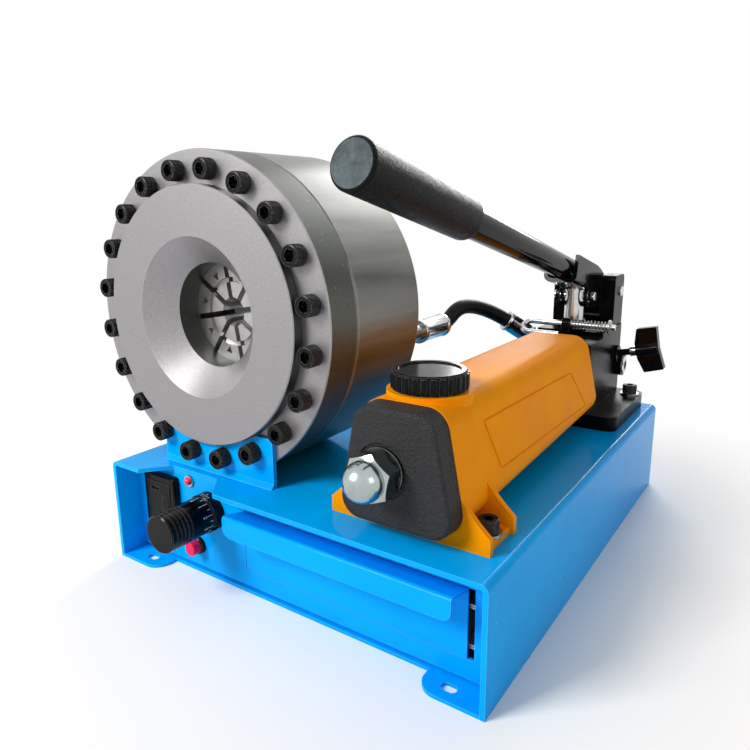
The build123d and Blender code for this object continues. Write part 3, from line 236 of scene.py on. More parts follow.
# lathe marks: fine rings about an axis that runs along Y through the mapping's origin
def makeLatheGroup(settings):
    group, entry, result = newGroup(
        "latheMarks",
        [("Vector", "NodeSocketVector", None), ("Scale", "NodeSocketFloat", 500.0)],
        [("Height", "NodeSocketFloat")],
    )
    rings = group.nodes.new("ShaderNodeTexWave")
    rings.wave_type = "RINGS"
    rings.rings_direction = "Y"
    rings.inputs["Distortion"].default_value = settings["ringDistortion"]
    rings.inputs["Detail"].default_value = settings["ringDetail"]
    rings.inputs["Detail Scale"].default_value = settings["ringDetailScale"]
    group.links.new(entry.outputs["Vector"], rings.inputs["Vector"])
    group.links.new(entry.outputs["Scale"], rings.inputs["Scale"])
    group.links.new(rings.outputs["Fac"], result.inputs["Height"])
    return group


groups = {
    "grain": makeGrainGroup(groupSettings),
    "specks": makeSpeckGroup(),
    "edges": makeEdgeGroup(groupSettings),
    "lathe": makeLatheGroup(groupSettings),
}
print("node groups made")


def placeGroup(tree, groupName, vector, values):
    node = tree.nodes.new("ShaderNodeGroup")
    node.node_tree = groups[groupName]
    tree.links.new(vector, node.inputs["Vector"])
    for socketName, value in values.items():
        node.inputs[socketName].default_value = value
    return node


def mixColors(tree, factor, first, second):
    node = tree.nodes.new("ShaderNodeMix")
    node.data_type = "RGBA"
    tree.links.new(factor, node.inputs[0])
    for socket, value in ((node.inputs[6], first), (node.inputs[7], second)):
        if isinstance(value, tuple):
            socket.default_value = (*value, 1.0)
        else:
            tree.links.new(value, socket)
    return node.outputs[2]


# where a finish changes with the way that a surface looks: painted shade on flanks, a painted reflection on
# a cut end
faceSettings = {
    "flankLimit": 0.3,  # a flank's normal has less than this along Y
    "flankLightening": 1.25,
    "endLimit": 0.96,  # a cut end's normal has more than this along its way
    "endDarkening": 0.3,
}


# mottled colour, with painted shade on the flanks and a painted reflection on a cut end
def bareColor(tree, coordinates, mottle, settings):
    color = mixColors(tree, mottle, settings["dark"], settings["light"])
    if "shadedFlank" in settings:  # surfaces that look sideways are painted darker than those that look along Y, as painted shade
        parts = tree.nodes.new("ShaderNodeSeparateXYZ")
        tree.links.new(coordinates.outputs["Normal"], parts.inputs["Vector"])
        along = mathNode(tree, "ABSOLUTE", parts.outputs["Y"])
        sideways = mathNode(tree, "LESS_THAN", along, faceSettings["flankLimit"])
        lighter = tuple(faceSettings["flankLightening"] * channel for channel in settings["shadedFlank"])
        color = mixColors(tree, sideways, color, mixColors(tree, mottle, settings["shadedFlank"], lighter))
    if "endReflectionColor" in settings:  # the cut end that looks along the given way, painted grey-blue as a painted reflection
        facing = tree.nodes.new("ShaderNodeVectorMath")
        facing.operation = "DOT_PRODUCT"
        facing.inputs[1].default_value = settings["endWay"]
        tree.links.new(coordinates.outputs["Normal"], facing.inputs[0])
        cut = mathNode(tree, "GREATER_THAN", facing.outputs["Value"], faceSettings["endLimit"])
        darker = tuple(faceSettings["endDarkening"] * channel for channel in settings["endReflectionColor"])
        color = mixColors(tree, cut, color, mixColors(tree, mottle, darker, settings["endReflectionColor"]))
    return color


# specks, and painted highlights along the edges, over a colour
def wornColor(tree, vector, color, settings):
    if "speckColor" in settings:
        speckValues = {
            "Scale": settings["speckScale"],
            "Share": settings["speckShare"],
            "Size": settings["speckSize"],
        }
        specks = placeGroup(tree, "specks", vector, speckValues)
        color = mixColors(tree, specks.outputs["Mask"], color, settings["speckColor"])
    # painted highlight: a lighter colour laid along the edges
    if "edgeHighlightColor" in settings:
        edgeHighlightValues = {"Amount": settings["edgeHighlightAmount"], "Radius": settings["edgeHighlightRadius"]}
        edges = placeGroup(tree, "edges", vector, edgeHighlightValues)
        color = mixColors(tree, edges.outputs["Mask"], color, settings["edgeHighlightColor"])
    return color


# grain, with lathe marks on a turned part
def surfaceHeight(tree, coordinates, grain, settings):
    if "latheCentre" not in settings:
        return grain
    centred = tree.nodes.new("ShaderNodeMapping")
    centred.inputs["Location"].default_value = [-value for value in settings["latheCentre"]]
    tree.links.new(coordinates.outputs["Object"], centred.inputs["Vector"])
    rings = placeGroup(tree, "lathe", centred.outputs["Vector"], {"Scale": settings["latheScale"]})
    return mathNode(tree, "ADD", grain, rings.outputs["Height"])


# one finish: mottled colour, specks, painted edge highlights, varied gloss and a grained surface
def makeFinish(name, settings):
    material = bpy.data.materials.new(name)
    material.use_nodes = True
    tree = material.node_tree
    shader = tree.nodes["Principled BSDF"]
    coordinates = tree.nodes.new("ShaderNodeTexCoord")
    mapping = tree.nodes.new("ShaderNodeMapping")
    mapping.inputs["Scale"].default_value = settings.get("stretch", (1.0, 1.0, 1.0))
    tree.links.new(coordinates.outputs["Object"], mapping.inputs["Vector"])
    vector = mapping.outputs["Vector"]
    grainValues = {"Grain Scale": settings["grainScale"], "Mottle Scale": settings["mottleScale"]}
    grain = placeGroup(tree, "grain", vector, grainValues)
    mottle = grain.outputs["Mottle"]
    color = wornColor(tree, vector, bareColor(tree, coordinates, mottle, settings), settings)
    tree.links.new(color, shader.inputs["Base Color"])
    gloss = tree.nodes.new("ShaderNodeMapRange")
    gloss.inputs["To Min"].default_value = settings["roughness"][0]
    gloss.inputs["To Max"].default_value = settings["roughness"][1]
    tree.links.new(mottle, gloss.inputs["Value"])
    tree.links.new(gloss.outputs["Result"], shader.inputs["Roughness"])
    bump = tree.nodes.new("ShaderNodeBump")
    bump.inputs["Strength"].default_value = settings["bumpStrength"]
    bump.inputs["Distance"].default_value = settings["bumpDistance"]
    height = surfaceHeight(tree, coordinates, grain.outputs["Height"], settings)
    tree.links.new(height, bump.inputs["Height"])
    tree.links.new(bump.outputs["Normal"], shader.inputs["Normal"])
    shader.inputs["Metallic"].default_value = settings.get("metallic", 0.0)
    shader.inputs["Specular IOR Level"].default_value = settings.get("specular", 0.5)
    shader.inputs["Coat Weight"].default_value = settings.get("coat", 0.0)
    shader.inputs["Coat Roughness"].default_value = settings.get("coatRoughness", 0.0)
    return material


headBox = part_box("front_flange")
headCentre = (headBox[0] + headBox[1]) / 2
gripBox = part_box("handle_grip")
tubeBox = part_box("handle_tube")
gripWay = (gripBox[0] + gripBox[1] - tubeBox[0] - tubeBox[1]).normalized()

# in each finish, the edge colour is a painted highlight along the edges
finishes = {
    "bluePaint": {
        "dark": (0.0, 0.33, 0.86), "light": (0.0, 0.42, 0.98),
        "roughness": (0.1, 0.18), "specular": 0.055,
        "grainScale": 160.0, "mottleScale": 7.0, "bumpStrength": 0.1, "bumpDistance": 0.0004,
        "speckColor": (0.35, 0.58, 0.75), "speckScale": 130.0, "speckShare": 0.05, "speckSize": 0.1,
        "edgeHighlightColor": (0.16, 0.67, 1.0), "edgeHighlightAmount": 0.45, "edgeHighlightRadius": 0.0008,
    },
    "orangePaint": {
        "dark": (0.95, 0.29, 0.0), "light": (1.0, 0.36, 0.0),
        "roughness": (0.36, 0.5), "specular": 0.03,
        "grainScale": 420.0, "mottleScale": 16.0, "bumpStrength": 0.3, "bumpDistance": 0.0003,
        "speckColor": (0.62, 0.17, 0.0), "speckScale": 160.0, "speckShare": 0.06, "speckSize": 0.12,
        "edgeHighlightColor": (1.0, 0.5, 0.06), "edgeHighlightAmount": 0.45, "edgeHighlightRadius": 0.0008,
    },
    # darker orange for the raised outlines: painted shade along them
    "shadedOrangeSeam": {
        "dark": (0.80, 0.22, 0.0), "light": (0.92, 0.275, 0.0),
        "roughness": (0.4, 0.55), "specular": 0.03,
        "grainScale": 420.0, "mottleScale": 60.0, "bumpStrength": 0.3, "bumpDistance": 0.0003,
    },
    "machinedSteel": {
        # the flank colour is painted shade on the surfaces that look sideways
        "dark": (0.30, 0.288, 0.295), "light": (0.37, 0.355, 0.365), "shadedFlank": (0.08, 0.085, 0.075),
        "roughness": (0.38, 0.44), "metallic": 0.85,
        "grainScale": 1500.0, "mottleScale": 520.0, "bumpStrength": 0.22, "bumpDistance": 0.0001,
        "speckColor": (0.47, 0.455, 0.46), "speckScale": 420.0, "speckShare": 0.2, "speckSize": 0.2,
        "edgeHighlightColor": (0.62, 0.61, 0.60), "edgeHighlightAmount": 0.7, "edgeHighlightRadius": 0.0006,
        "latheCentre": headCentre, "latheScale": 420.0,
    },
    "bodySteel": {
        "dark": (0.145, 0.147, 0.135), "light": (0.21, 0.21, 0.198),
        "roughness": (0.32, 0.42), "metallic": 1.0,
        "stretch": (1.0, 0.12, 1.0), "grainScale": 900.0, "mottleScale": 75.0,
        "bumpStrength": 0.06, "bumpDistance": 0.0001,
        "edgeHighlightColor": (0.60, 0.59, 0.57), "edgeHighlightAmount": 0.7, "edgeHighlightRadius": 0.0008,
        "latheCentre": headCentre, "latheScale": 420.0,
    },
    "dieSteel": {
        "dark": (0.40, 0.385, 0.38), "light": (0.55, 0.54, 0.53),
        "roughness": (0.3, 0.42), "metallic": 0.85,
        "grainScale": 1200.0, "mottleScale": 80.0, "bumpStrength": 0.1, "bumpDistance": 0.0001,
        "speckColor": (0.14, 0.12, 0.10), "speckScale": 300.0, "speckShare": 0.12, "speckSize": 0.2,
        "edgeHighlightColor": (0.72, 0.71, 0.69), "edgeHighlightAmount": 0.6, "edgeHighlightRadius": 0.0004,
    },
    "zincNut": {
        "dark": (0.36, 0.42, 0.41), "light": (0.50, 0.56, 0.55),
        "roughness": (0.14, 0.22), "metallic": 1.0,
        "grainScale": 900.0, "mottleScale": 60.0, "bumpStrength": 0.05, "bumpDistance": 0.0001,
        "edgeHighlightColor": (0.8, 0.84, 0.84), "edgeHighlightAmount": 0.6, "edgeHighlightRadius": 0.0004,
    },
    "darkWasher": {
        "dark": (0.05, 0.055, 0.058), "light": (0.09, 0.10, 0.10),
        "roughness": (0.2, 0.3), "metallic": 1.0,
        "grainScale": 900.0, "mottleScale": 60.0, "bumpStrength": 0.05, "bumpDistance": 0.0001,
        "edgeHighlightColor": (0.4, 0.44, 0.44), "edgeHighlightAmount": 0.5, "edgeHighlightRadius": 0.0003,
    },
    "ferruleZinc": {
        "dark": (0.50, 0.50, 0.49), "light": (0.62, 0.62, 0.61),
        "roughness": (0.14, 0.22), "metallic": 1.0,
        "grainScale": 900.0, "mottleScale": 90.0, "bumpStrength": 0.04, "bumpDistance": 0.0001,
        "edgeHighlightColor": (0.8, 0.8, 0.79), "edgeHighlightAmount": 0.4, "edgeHighlightRadius": 0.0003,
    },
    "zincPlate": {
        "dark": (0.34, 0.35, 0.34), "light": (0.48, 0.49, 0.48),
        "roughness": (0.18, 0.3), "metallic": 1.0,
        "grainScale": 900.0, "mottleScale": 150.0, "bumpStrength": 0.1, "bumpDistance": 0.0001,
        "edgeHighlightColor": (0.7, 0.7, 0.69), "edgeHighlightAmount": 0.6, "edgeHighlightRadius": 0.0004,
    },
    "brightSteel": {
        "dark": (0.50, 0.50, 0.49), "light": (0.66, 0.66, 0.65),
        "roughness": (0.14, 0.24), "metallic": 1.0,
        "grainScale": 1400.0, "mottleScale": 120.0, "bumpStrength": 0.06, "bumpDistance": 0.0001,
        "edgeHighlightColor": (0.8, 0.8, 0.79), "edgeHighlightAmount": 0.6, "edgeHighlightRadius": 0.0003,
    },
    "zincSheet": {
        "dark": (0.40, 0.41, 0.43), "light": (0.50, 0.51, 0.53),
        "roughness": (0.34, 0.44), "metallic": 0.8,
        "grainScale": 700.0, "mottleScale": 200.0, "bumpStrength": 0.1, "bumpDistance": 0.0001,
    },
    "blackOxide": {
        "dark": (0.002, 0.002, 0.002), "light": (0.006, 0.006, 0.005),
        "roughness": (0.2, 0.3), "specular": 0.12,
        "grainScale": 1500.0, "mottleScale": 200.0, "bumpStrength": 0.12, "bumpDistance": 0.0001,
        "edgeHighlightColor": (0.42, 0.42, 0.41), "edgeHighlightAmount": 1.0, "edgeHighlightRadius": 0.0002,
    },
    "castBlack": {
        "dark": (0.0015, 0.0015, 0.002), "light": (0.005, 0.0045, 0.005),
        "roughness": (0.16, 0.28), "specular": 0.05,
        "grainScale": 330.0, "mottleScale": 20.0, "bumpStrength": 0.3, "bumpDistance": 0.0005,
        "edgeHighlightColor": (0.09, 0.09, 0.09), "edgeHighlightAmount": 0.8, "edgeHighlightRadius": 0.0006,
    },
    "glossBlack": {
        "dark": (0.0012, 0.0014, 0.0018), "light": (0.004, 0.004, 0.0045),
        "roughness": (0.08, 0.16), "specular": 0.1,
        "grainScale": 220.0, "mottleScale": 15.0, "bumpStrength": 0.1, "bumpDistance": 0.0003,
        "edgeHighlightColor": (0.12, 0.12, 0.12), "edgeHighlightAmount": 0.8, "edgeHighlightRadius": 0.0005,
    },
    "grainedPlastic": {
        "dark": (0.013, 0.013, 0.014), "light": (0.040, 0.040, 0.041),
        "roughness": (0.34, 0.5), "specular": 0.16,
        "grainScale": 620.0, "mottleScale": 900.0, "bumpStrength": 0.9, "bumpDistance": 0.0006,
        "speckColor": (0.075, 0.075, 0.076), "speckScale": 900.0, "speckShare": 0.55, "speckSize": 0.36,
    },
    "blackPlastic": {
        "dark": (0.0012, 0.0012, 0.0012), "light": (0.003, 0.003, 0.003),
        "roughness": (0.1, 0.18), "specular": 0.12,
        "grainScale": 700.0, "mottleScale": 60.0, "bumpStrength": 0.06, "bumpDistance": 0.0001,
        "edgeHighlightColor": (0.42, 0.42, 0.42), "edgeHighlightAmount": 0.8, "edgeHighlightRadius": 0.00025,
    },
    "foamRubber": {
        "dark": (0.0012, 0.0016, 0.0015), "light": (0.005, 0.006, 0.0058),
        "roughness": (0.24, 0.34), "specular": 0.08,
        "grainScale": 760.0, "mottleScale": 70.0, "bumpStrength": 0.75, "bumpDistance": 0.0005,
        "speckColor": (0.07, 0.08, 0.08), "speckScale": 420.0, "speckShare": 0.3, "speckSize": 0.22,
        "edgeHighlightColor": (0.10, 0.12, 0.125), "edgeHighlightAmount": 0.6, "edgeHighlightRadius": 0.0008,
        # the end colour is a painted reflection on the grip's cut end
        "endReflectionColor": (0.15, 0.19, 0.20), "endWay": gripWay,
    },
    "hoseRubber": {
        "dark": (0.003, 0.004, 0.005), "light": (0.010, 0.012, 0.013),
        "roughness": (0.34, 0.44), "specular": 0.16,
        "grainScale": 900.0, "mottleScale": 80.0, "bumpStrength": 0.4, "bumpDistance": 0.0002,
    },
    "redPlastic": {
        "dark": (0.74, 0.004, 0.075), "light": (0.86, 0.01, 0.11),
        "roughness": (0.24, 0.34), "specular": 0.2,
        "grainScale": 800.0, "mottleScale": 60.0, "bumpStrength": 0.1, "bumpDistance": 0.0001,
    },
    "redLens": {
        "dark": (0.78, 0.005, 0.07), "light": (0.9, 0.012, 0.10),
        "roughness": (0.1, 0.16), "coat": 0.6, "coatRoughness": 0.05,
        "grainScale": 800.0, "mottleScale": 60.0, "bumpStrength": 0.05, "bumpDistance": 0.0001,
    },
    "whiteInk": {
        "dark": (0.60, 0.60, 0.60), "light": (0.75, 0.75, 0.75),
        "roughness": (0.4, 0.5), "specular": 0.3,
        "grainScale": 900.0, "mottleScale": 300.0, "bumpStrength": 0.1, "bumpDistance": 0.0001,
    },
}
madeFinishes = {name: makeFinish(name, settings) for name, settings in finishes.items()}

finishOfNodes = {
    "bluePaint": ["base_shell", "bottom_plate", "front_panel", "rear_panel", "head_bracket", "drawer_front"],
    "orangePaint": ["pump_tank"],
    "machinedSteel": ["front_flange", "rear_sleeve", "ring_piston"],
    "bodySteel": ["cylinder_body"],
    "dieSteel": [f"die_{number}" for number in range(1, 9)],
    "zincNut": ["tie_rod_nut"],
    "darkWasher": ["tie_rod_washer"],
    "zincPlate": ["foot_washers", "head_adapter", "pump_adapter", "lamp_bezel", "lock_washer"],
    "brightSteel": [
        "valve_collar", "dial_spindle", "plunger", "plunger_pin", "pivot_pin", "lock_hook", "port_plug",
    ],
    "zincSheet": ["drawer_tray", "slide_rails", "slide_runners", "drawer_cradle"],
    "blackOxide": ["valve_stem"],
    "castBlack": ["pump_head", "gland_nut"],
    "glossBlack": ["handle_yoke", "handle_tube", "valve_knob"],
    "grainedPlastic": ["tank_end_cap"],
    "blackPlastic": [
        "battery_box", "battery_tray", "button_bezel", "dial_base", "dial_thimble", "filler_cap",
    ],
    "foamRubber": ["handle_grip"],
    "redPlastic": ["button_cap"],
    "redLens": ["lamp_lens"],
}
for finishName, nodeNames in finishOfNodes.items():
    for nodeName in nodeNames:
        for materialSlot in nodes[nodeName].material_slots:
            materialSlot.material = madeFinishes[finishName]
hoseCover.data.materials.append(madeFinishes["hoseRubber"])
print("finishes assigned")


# a finished bmesh becomes a piece on a body
def makePiece(name, shape, body, finish, smoothAngle=35.0):
    mesh = bpy.data.meshes.new(name)
    bmesh.ops.remove_doubles(shape, verts=shape.verts, dist=1e-7)
    bmesh.ops.recalc_face_normals(shape, faces=shape.faces)
    for face in shape.faces:
        face.smooth = True
    for edge in shape.edges:
        edge.smooth = len(edge.link_faces) == 2 and edge.calc_face_angle(pi) < radians(smoothAngle)
    shape.to_mesh(mesh)
    shape.free()
    piece = bpy.data.objects.new(name, mesh)
    bpy.context.scene.collection.objects.link(piece)
    mesh.materials.append(madeFinishes[finish])
    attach(piece, body)
    return piece


# spring on the lock hook: a round wire wound about the rod, between the boss and the washer
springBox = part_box("lock_spring")
springGap = 0.0002  # room at each end
springSettings = {
    "centre": (springBox[0] + springBox[1]) / 2,
    "start": springBox[0].x + springGap,
    "end": springBox[1].x - springGap,
    "wireRadius": 0.00065,
    "wireSides": 10,
    "coilRadius": 0.0051,
    "turns": 11,
    "stepsPerTurn": 24,
    "smoothAngle": 60.0,
    "keep": 0.71,
}


def makeSpring(settings):
    shape = bmesh.new()
    wire = settings["wireRadius"]
    centre = Vector((settings["start"] + wire, settings["centre"].y, settings["centre"].z))
    side = centre + Vector((0, 0, settings["coilRadius"]))
    turn = Matrix.Translation(side) @ Matrix.Rotation(pi / 2, 4, "X")
    ring = bmesh.ops.create_circle(
        shape, cap_ends=False, segments=settings["wireSides"], radius=wire, matrix=turn
    )
    steps = settings["turns"] * settings["stepsPerTurn"]
    rise = (settings["end"] - settings["start"] - 2 * wire) / steps
    bmesh.ops.spin(
        shape,
        geom=list({edge for vert in ring["verts"] for edge in vert.link_edges}),
        cent=centre,
        axis=(1, 0, 0),
        dvec=(rise, 0, 0),
        angle=tau * settings["turns"],
        steps=steps,
    )
    bmesh.ops.holes_fill(shape, edges=shape.edges)
    return makePiece(
        "lockSpringCoil", shape, "base", "zincPlate", settings["smoothAngle"]
    )


lockSpringCoil = makeSpring(springSettings)
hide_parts("lock_spring")
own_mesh(lockSpringCoil)
print("lock spring wound")

# socket screws: knurled heads with a hexagon socket, on the flange and on the pump's feet
screwSettings = {
    "kinds": [
        {
            "name": "flangeScrews",
            "replaces": "flange_bolts",
            "headWay": (0.0, -1.0, 0.0),
            "headRadius": 0.009,
            "headHeight": 0.012,
            "key": 0.010,
            "shankRadius": 0.0059,
            "turnEach": 0.7,
        },
        {
            "name": "footScrews",
            "replaces": "foot_bolts",
            "headWay": (0.0, 0.0, 1.0),
            "headRadius": 0.008,
            "headHeight": 0.010,
            "key": 0.008,
            "shankRadius": 0.0049,
            "turnEach": 0.5,
        },
    ],
    "knurls": 40,
    "knurlDepth": 0.00028,
    "topBevel": 0.0011,
    "bevelSteps": 2,
    "rimShare": 0.16,
    "dish": 0.0002,
    "mouthWidth": 0.0006,
    "socketShare": 0.5,
    "shankSides": 24,
    "shankGap": 0.0005,
    "smoothAngle": 25.0,
}


# one screw along its own Z: head on z = 0, socket at the top, shank below
def addScrew(shape, place, kind, length, settings):
    headRadius = kind["headRadius"]
    headHeight = kind["headHeight"]
    shankLength = length - headHeight - settings["shankGap"]
    made = bmesh.new()
    segments = 2 * settings["knurls"]
    bmesh.ops.create_cone(
        made,
        cap_ends=True,
        segments=segments,
        radius1=headRadius,
        radius2=headRadius,
        depth=headHeight,
        matrix=Matrix.Translation((0, 0, headHeight / 2)),
    )
    for vert in made.verts:
        isGroove = round(vert.co.to_2d().angle_signed(Vector((1, 0))) / tau * segments) % 2
        if isGroove:
            vert.co.xy *= 1 - settings["knurlDepth"] / headRadius
    top = max(made.faces, key=lambda face: face.calc_center_median().z)
    bmesh.ops.bevel(
        made,
        geom=list(top.edges),
        offset=settings["topBevel"],
        segments=settings["bevelSteps"],
        profile=0.5,
        affect="EDGES",
        material=-1,
    )
    top = max(made.faces, key=lambda face: (round(face.calc_center_median().z, 6), face.calc_area()))
    bmesh.ops.inset_region(made, faces=[top], thickness=headRadius * settings["rimShare"])
    for vert in top.verts:
        vert.co.z -= settings["dish"]
    bmesh.ops.inset_region(made, faces=[top], thickness=settings["mouthWidth"])
    for vert in top.verts:  # the socket's mouth: the round is drawn out to a hexagon
        angle = vert.co.to_2d().angle_signed(Vector((1, 0)))
        within = (angle + pi / 6) % (pi / 3) - pi / 6
        vert.co.xy = vert.co.to_2d().normalized() * (kind["key"] / 2) / cos(within)
    socket = bmesh.ops.extrude_face_region(made, geom=[top])
    floorVerts = [item for item in socket["geom"] if isinstance(item, bmesh.types.BMVert)]
    bmesh.ops.translate(made, vec=(0, 0, -headHeight * settings["socketShare"]), verts=floorVerts)
    bmesh.ops.delete(made, geom=[top], context="FACES")
    bmesh.ops.create_cone(
        made,
        cap_ends=True,
        segments=settings["shankSides"],
        radius1=kind["shankRadius"],
        radius2=kind["shankRadius"],
        depth=shankLength,
        matrix=Matrix.Translation((0, 0, -shankLength / 2)),
    )
    bmesh.ops.transform(made, matrix=place, verts=made.verts)
    holder = bpy.data.meshes.new("screw")
    made.to_mesh(holder)
    made.free()
    shape.from_mesh(holder)
    bpy.data.meshes.remove(holder)


# each separate lump of a node, found from its mesh: where it ends towards way, and its length that way
def lumpHeads(nodeName, way):
    axis = max(range(3), key=lambda i: abs(way[i]))
    shape = bmesh.new()
    shape.from_mesh(nodes[nodeName].data)
    bmesh.ops.remove_doubles(shape, verts=shape.verts, dist=1e-6)
    left = set(shape.verts)
    found = []
    while left:
        seed = left.pop()
        lump = [seed]
        front = [seed]
        while front:
            vert = front.pop()
            for link in vert.link_edges:
                other = link.other_vert(vert)
                if other in left:
                    left.remove(other)
                    lump.append(other)
                    front.append(other)
        low = Vector([min(vert.co[i] for vert in lump) for i in range(3)])
        high = Vector([max(vert.co[i] for vert in lump) for i in range(3)])
        head = (low + high) / 2
        head[axis] = high[axis] if way[axis] > 0 else low[axis]
        found.append((head, high[axis] - low[axis]))
    shape.free()
    return sorted(found, key=lambda item: tuple(item[0]))


def makeScrews(kind, settings):
    shape = bmesh.new()
    way = Vector(kind["headWay"])
    outward = Vector((0, 0, 1)).rotation_difference(way).to_matrix().to_4x4()
    for number, (head, length) in enumerate(lumpHeads(kind["replaces"], way)):
        seat = head - kind["headHeight"] * way
        turn = Matrix.Rotation(kind["turnEach"] * number, 4, "Z")
        addScrew(shape, Matrix.Translation(seat) @ outward @ turn, kind, length, settings)
    piece = makePiece(kind["name"], shape, "base", "blackOxide", settings["smoothAngle"])
    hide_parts(kind["replaces"])
    print(kind["name"], "made:", len(piece.data.vertices), "points")


for screwKind in screwSettings["kinds"]:
    makeScrews(screwKind, screwSettings)

# raised outlines cast into the tank's two flanks
tankOutlineSettings = {
    "corners": [(-0.156, 0.183), (0.042, 0.179), (0.071, 0.1385), (-0.138, 0.140)],
    "cornerRadius": 0.004,
    "cornerSteps": 5,
    "lineWidth": 0.0011,
    "height": 0.0006,
    "sink": 0.0003,
    "castFrom": 0.01,
}


# side is 1 on the right and -1 on the left
def makeTankOutline(side, settings):
    surface = BVHTree.FromObject(nodes["pump_tank"], bpy.context.evaluated_depsgraph_get())
    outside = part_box("pump_tank")[side > 0].x + side * settings["castFrom"]
    shape = bmesh.new()
    corners = []
    for y, z in settings["corners"]:
        hit = surface.ray_cast(Vector((outside, y, z)), Vector((-side, 0, 0)))[0]
        corners.append(shape.verts.new(hit - side * Vector((settings["sink"], 0, 0))))
    panel = shape.faces.new(corners)
    panel.normal_update()
    bmesh.ops.bevel(
        shape,
        geom=corners,
        offset=settings["cornerRadius"],
        segments=settings["cornerSteps"],
        profile=0.5,
        affect="VERTICES",
        material=-1,
    )
    panel = max(shape.faces, key=lambda face: face.calc_area())
    bmesh.ops.inset_individual(shape, faces=[panel], thickness=settings["lineWidth"])
    inside = max(shape.faces, key=lambda face: face.calc_area())
    bmesh.ops.delete(shape, geom=[inside], context="FACES_ONLY")
    raised = bmesh.ops.extrude_face_region(shape, geom=list(shape.faces))
    upper = [item for item in raised["geom"] if isinstance(item, bmesh.types.BMVert)]
    bmesh.ops.translate(shape, vec=(side * (settings["height"] + settings["sink"]), 0, 0), verts=upper)
    sideName = "right" if side > 0 else "left"
    # the outlines take the darker orange, as painted shade
    makePiece(f"tankOutline.{sideName}", shape, "base", "shadedOrangeSeam")


for side in (-1, 1):
    makeTankOutline(side, tankOutlineSettings)
print("tank outlines raised")

# crimped ferrules of the hose: round collars with eight pressed flats between them
ferruleSettings = {
    "ferrules": [
        {
            "name": "headFerrule",
            "replaces": "head_ferrule",
            "openEnd": (0.0, 0.061, 0.210),
            "way": (0.0, 1.0, 0.0),
            "length": 0.053,
        },
        {
            "name": "pumpFerrule",
            "replaces": "pump_ferrule",
            "openEnd": (0.039, 0.152, 0.206),
            "way": (-0.63, -0.55, 0.55),
            "length": 0.036,
        },
    ],
    "sides": 8,
    "ringPoints": 64,
    "collarRadius": 0.0129,
    "neckRadius": 0.0121,
    "flatRadius": 0.0114,
    "cornerRadius": 0.0122,
    "boreRadius": 0.0087,
    "boreDepth": 0.010,
    "edge": 0.0009,
    "collar": 0.0035,
    "slope": 0.0016,
    "smoothAngle": 20.0,
}


# half section of a ferrule along its own Z: radius and height, from the home end to the bore's bottom
def ferruleProfile(length, settings):
    collarRadius = settings["collarRadius"]
    edge = settings["edge"]
    neck = settings["collar"] + settings["slope"]
    flat = neck + settings["slope"]
    return [
        (collarRadius - edge, 0.0),
        (collarRadius, edge),
        (collarRadius, settings["collar"]),
        (settings["neckRadius"], neck),
        (settings["flatRadius"], flat),
        (settings["flatRadius"], length - flat),
        (settings["neckRadius"], length - neck),
        (collarRadius, length - settings["collar"]),
        (collarRadius, length - edge),
        (collarRadius - edge, length),
        (settings["boreRadius"], length),
        (settings["boreRadius"], length - settings["boreDepth"]),
    ]


# the round rings at the flats' radius become pressed ones: flat sides with rounded corners between them
def pressFlats(shape, settings):
    side = tau / settings["sides"]
    for vert in shape.verts:
        flatPoint = vert.co.to_2d()
        if abs(flatPoint.length - settings["flatRadius"]) > 1e-6:
            continue
        offset = (flatPoint.angle_signed(Vector((1, 0))) + side / 2) % side - side / 2
        reach = min(settings["flatRadius"] / cos(offset), settings["cornerRadius"])
        vert.co.xy = flatPoint.normalized() * reach


def makeFerrule(ferrule, settings):
    way = Vector(ferrule["way"]).normalized()
    home = Vector(ferrule["openEnd"]) - way * ferrule["length"]
    place = Matrix.Translation(home) @ way.to_track_quat("Z", "Y").to_matrix().to_4x4()
    shape = bmesh.new()
    profile = ferruleProfile(ferrule["length"], settings)
    points = [shape.verts.new((radius, 0, height)) for radius, height in profile]
    lines = [shape.edges.new(ends) for ends in zip(points, points[1:])]
    bmesh.ops.spin(
        shape,
        geom=points + lines,
        cent=(0, 0, 0),
        axis=(0, 0, 1),
        angle=tau,
        steps=settings["ringPoints"],
        use_merge=True,
    )
    pressFlats(shape, settings)
    bmesh.ops.holes_fill(shape, edges=shape.edges)
    bmesh.ops.transform(shape, matrix=place, verts=shape.verts)
    piece = makePiece(
        ferrule["name"], shape, "base", "ferruleZinc", settings["smoothAngle"]
    )
    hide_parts(ferrule["replaces"])
    return piece


[makeFerrule(ferrule, ferruleSettings) for ferrule in ferruleSettings["ferrules"]]
print("ferrules pressed on the hose")

# scale of the dial: white lines and digits on the thimble, an index line on the fixed base
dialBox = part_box("dial_thimble")
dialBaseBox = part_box("dial_base")
dialSettings = {
    "centre": (dialBox[0] + dialBox[1]) / 2,
    "radius": (dialBox[1].x - dialBox[0].x) / 2,
    "back": dialBox[1].y,
    "divisions": 20,
    "shortLine": 0.0032,
    "longLine": 0.0056,
    "lineWidth": 0.00042,
    "lineHeight": 0.00012,
    "sunkShare": 0.3,
    "backGap": 0.0006,
    "digitSize": 0.0052,
    "digitDrop": 0.62,
    "digitSink": 0.00005,
    "indexLong": 0.006,
    "indexShort": 0.003,
    "indexGap": 0.0025,
    "indexSide": 2,
    "indexDegrees": 8,
    "indexStepDegrees": 7,
}


# a line along Y on a round of that radius, at an angle about the dial's axis
def addDialLine(shape, radius, angle, backY, length, settings):
    centre = settings["centre"]
    turn = Matrix.Translation((centre.x, 0, centre.z)) @ Matrix.Rotation(angle, 4, "Y")
    size = Matrix.Diagonal((settings["lineWidth"], length, settings["lineHeight"], 1))
    lineZ = radius + settings["lineHeight"] * settings["sunkShare"]
    place = Matrix.Translation((0, backY - length / 2, lineZ))
    bmesh.ops.create_cube(shape, size=1.0, matrix=turn @ place @ size)


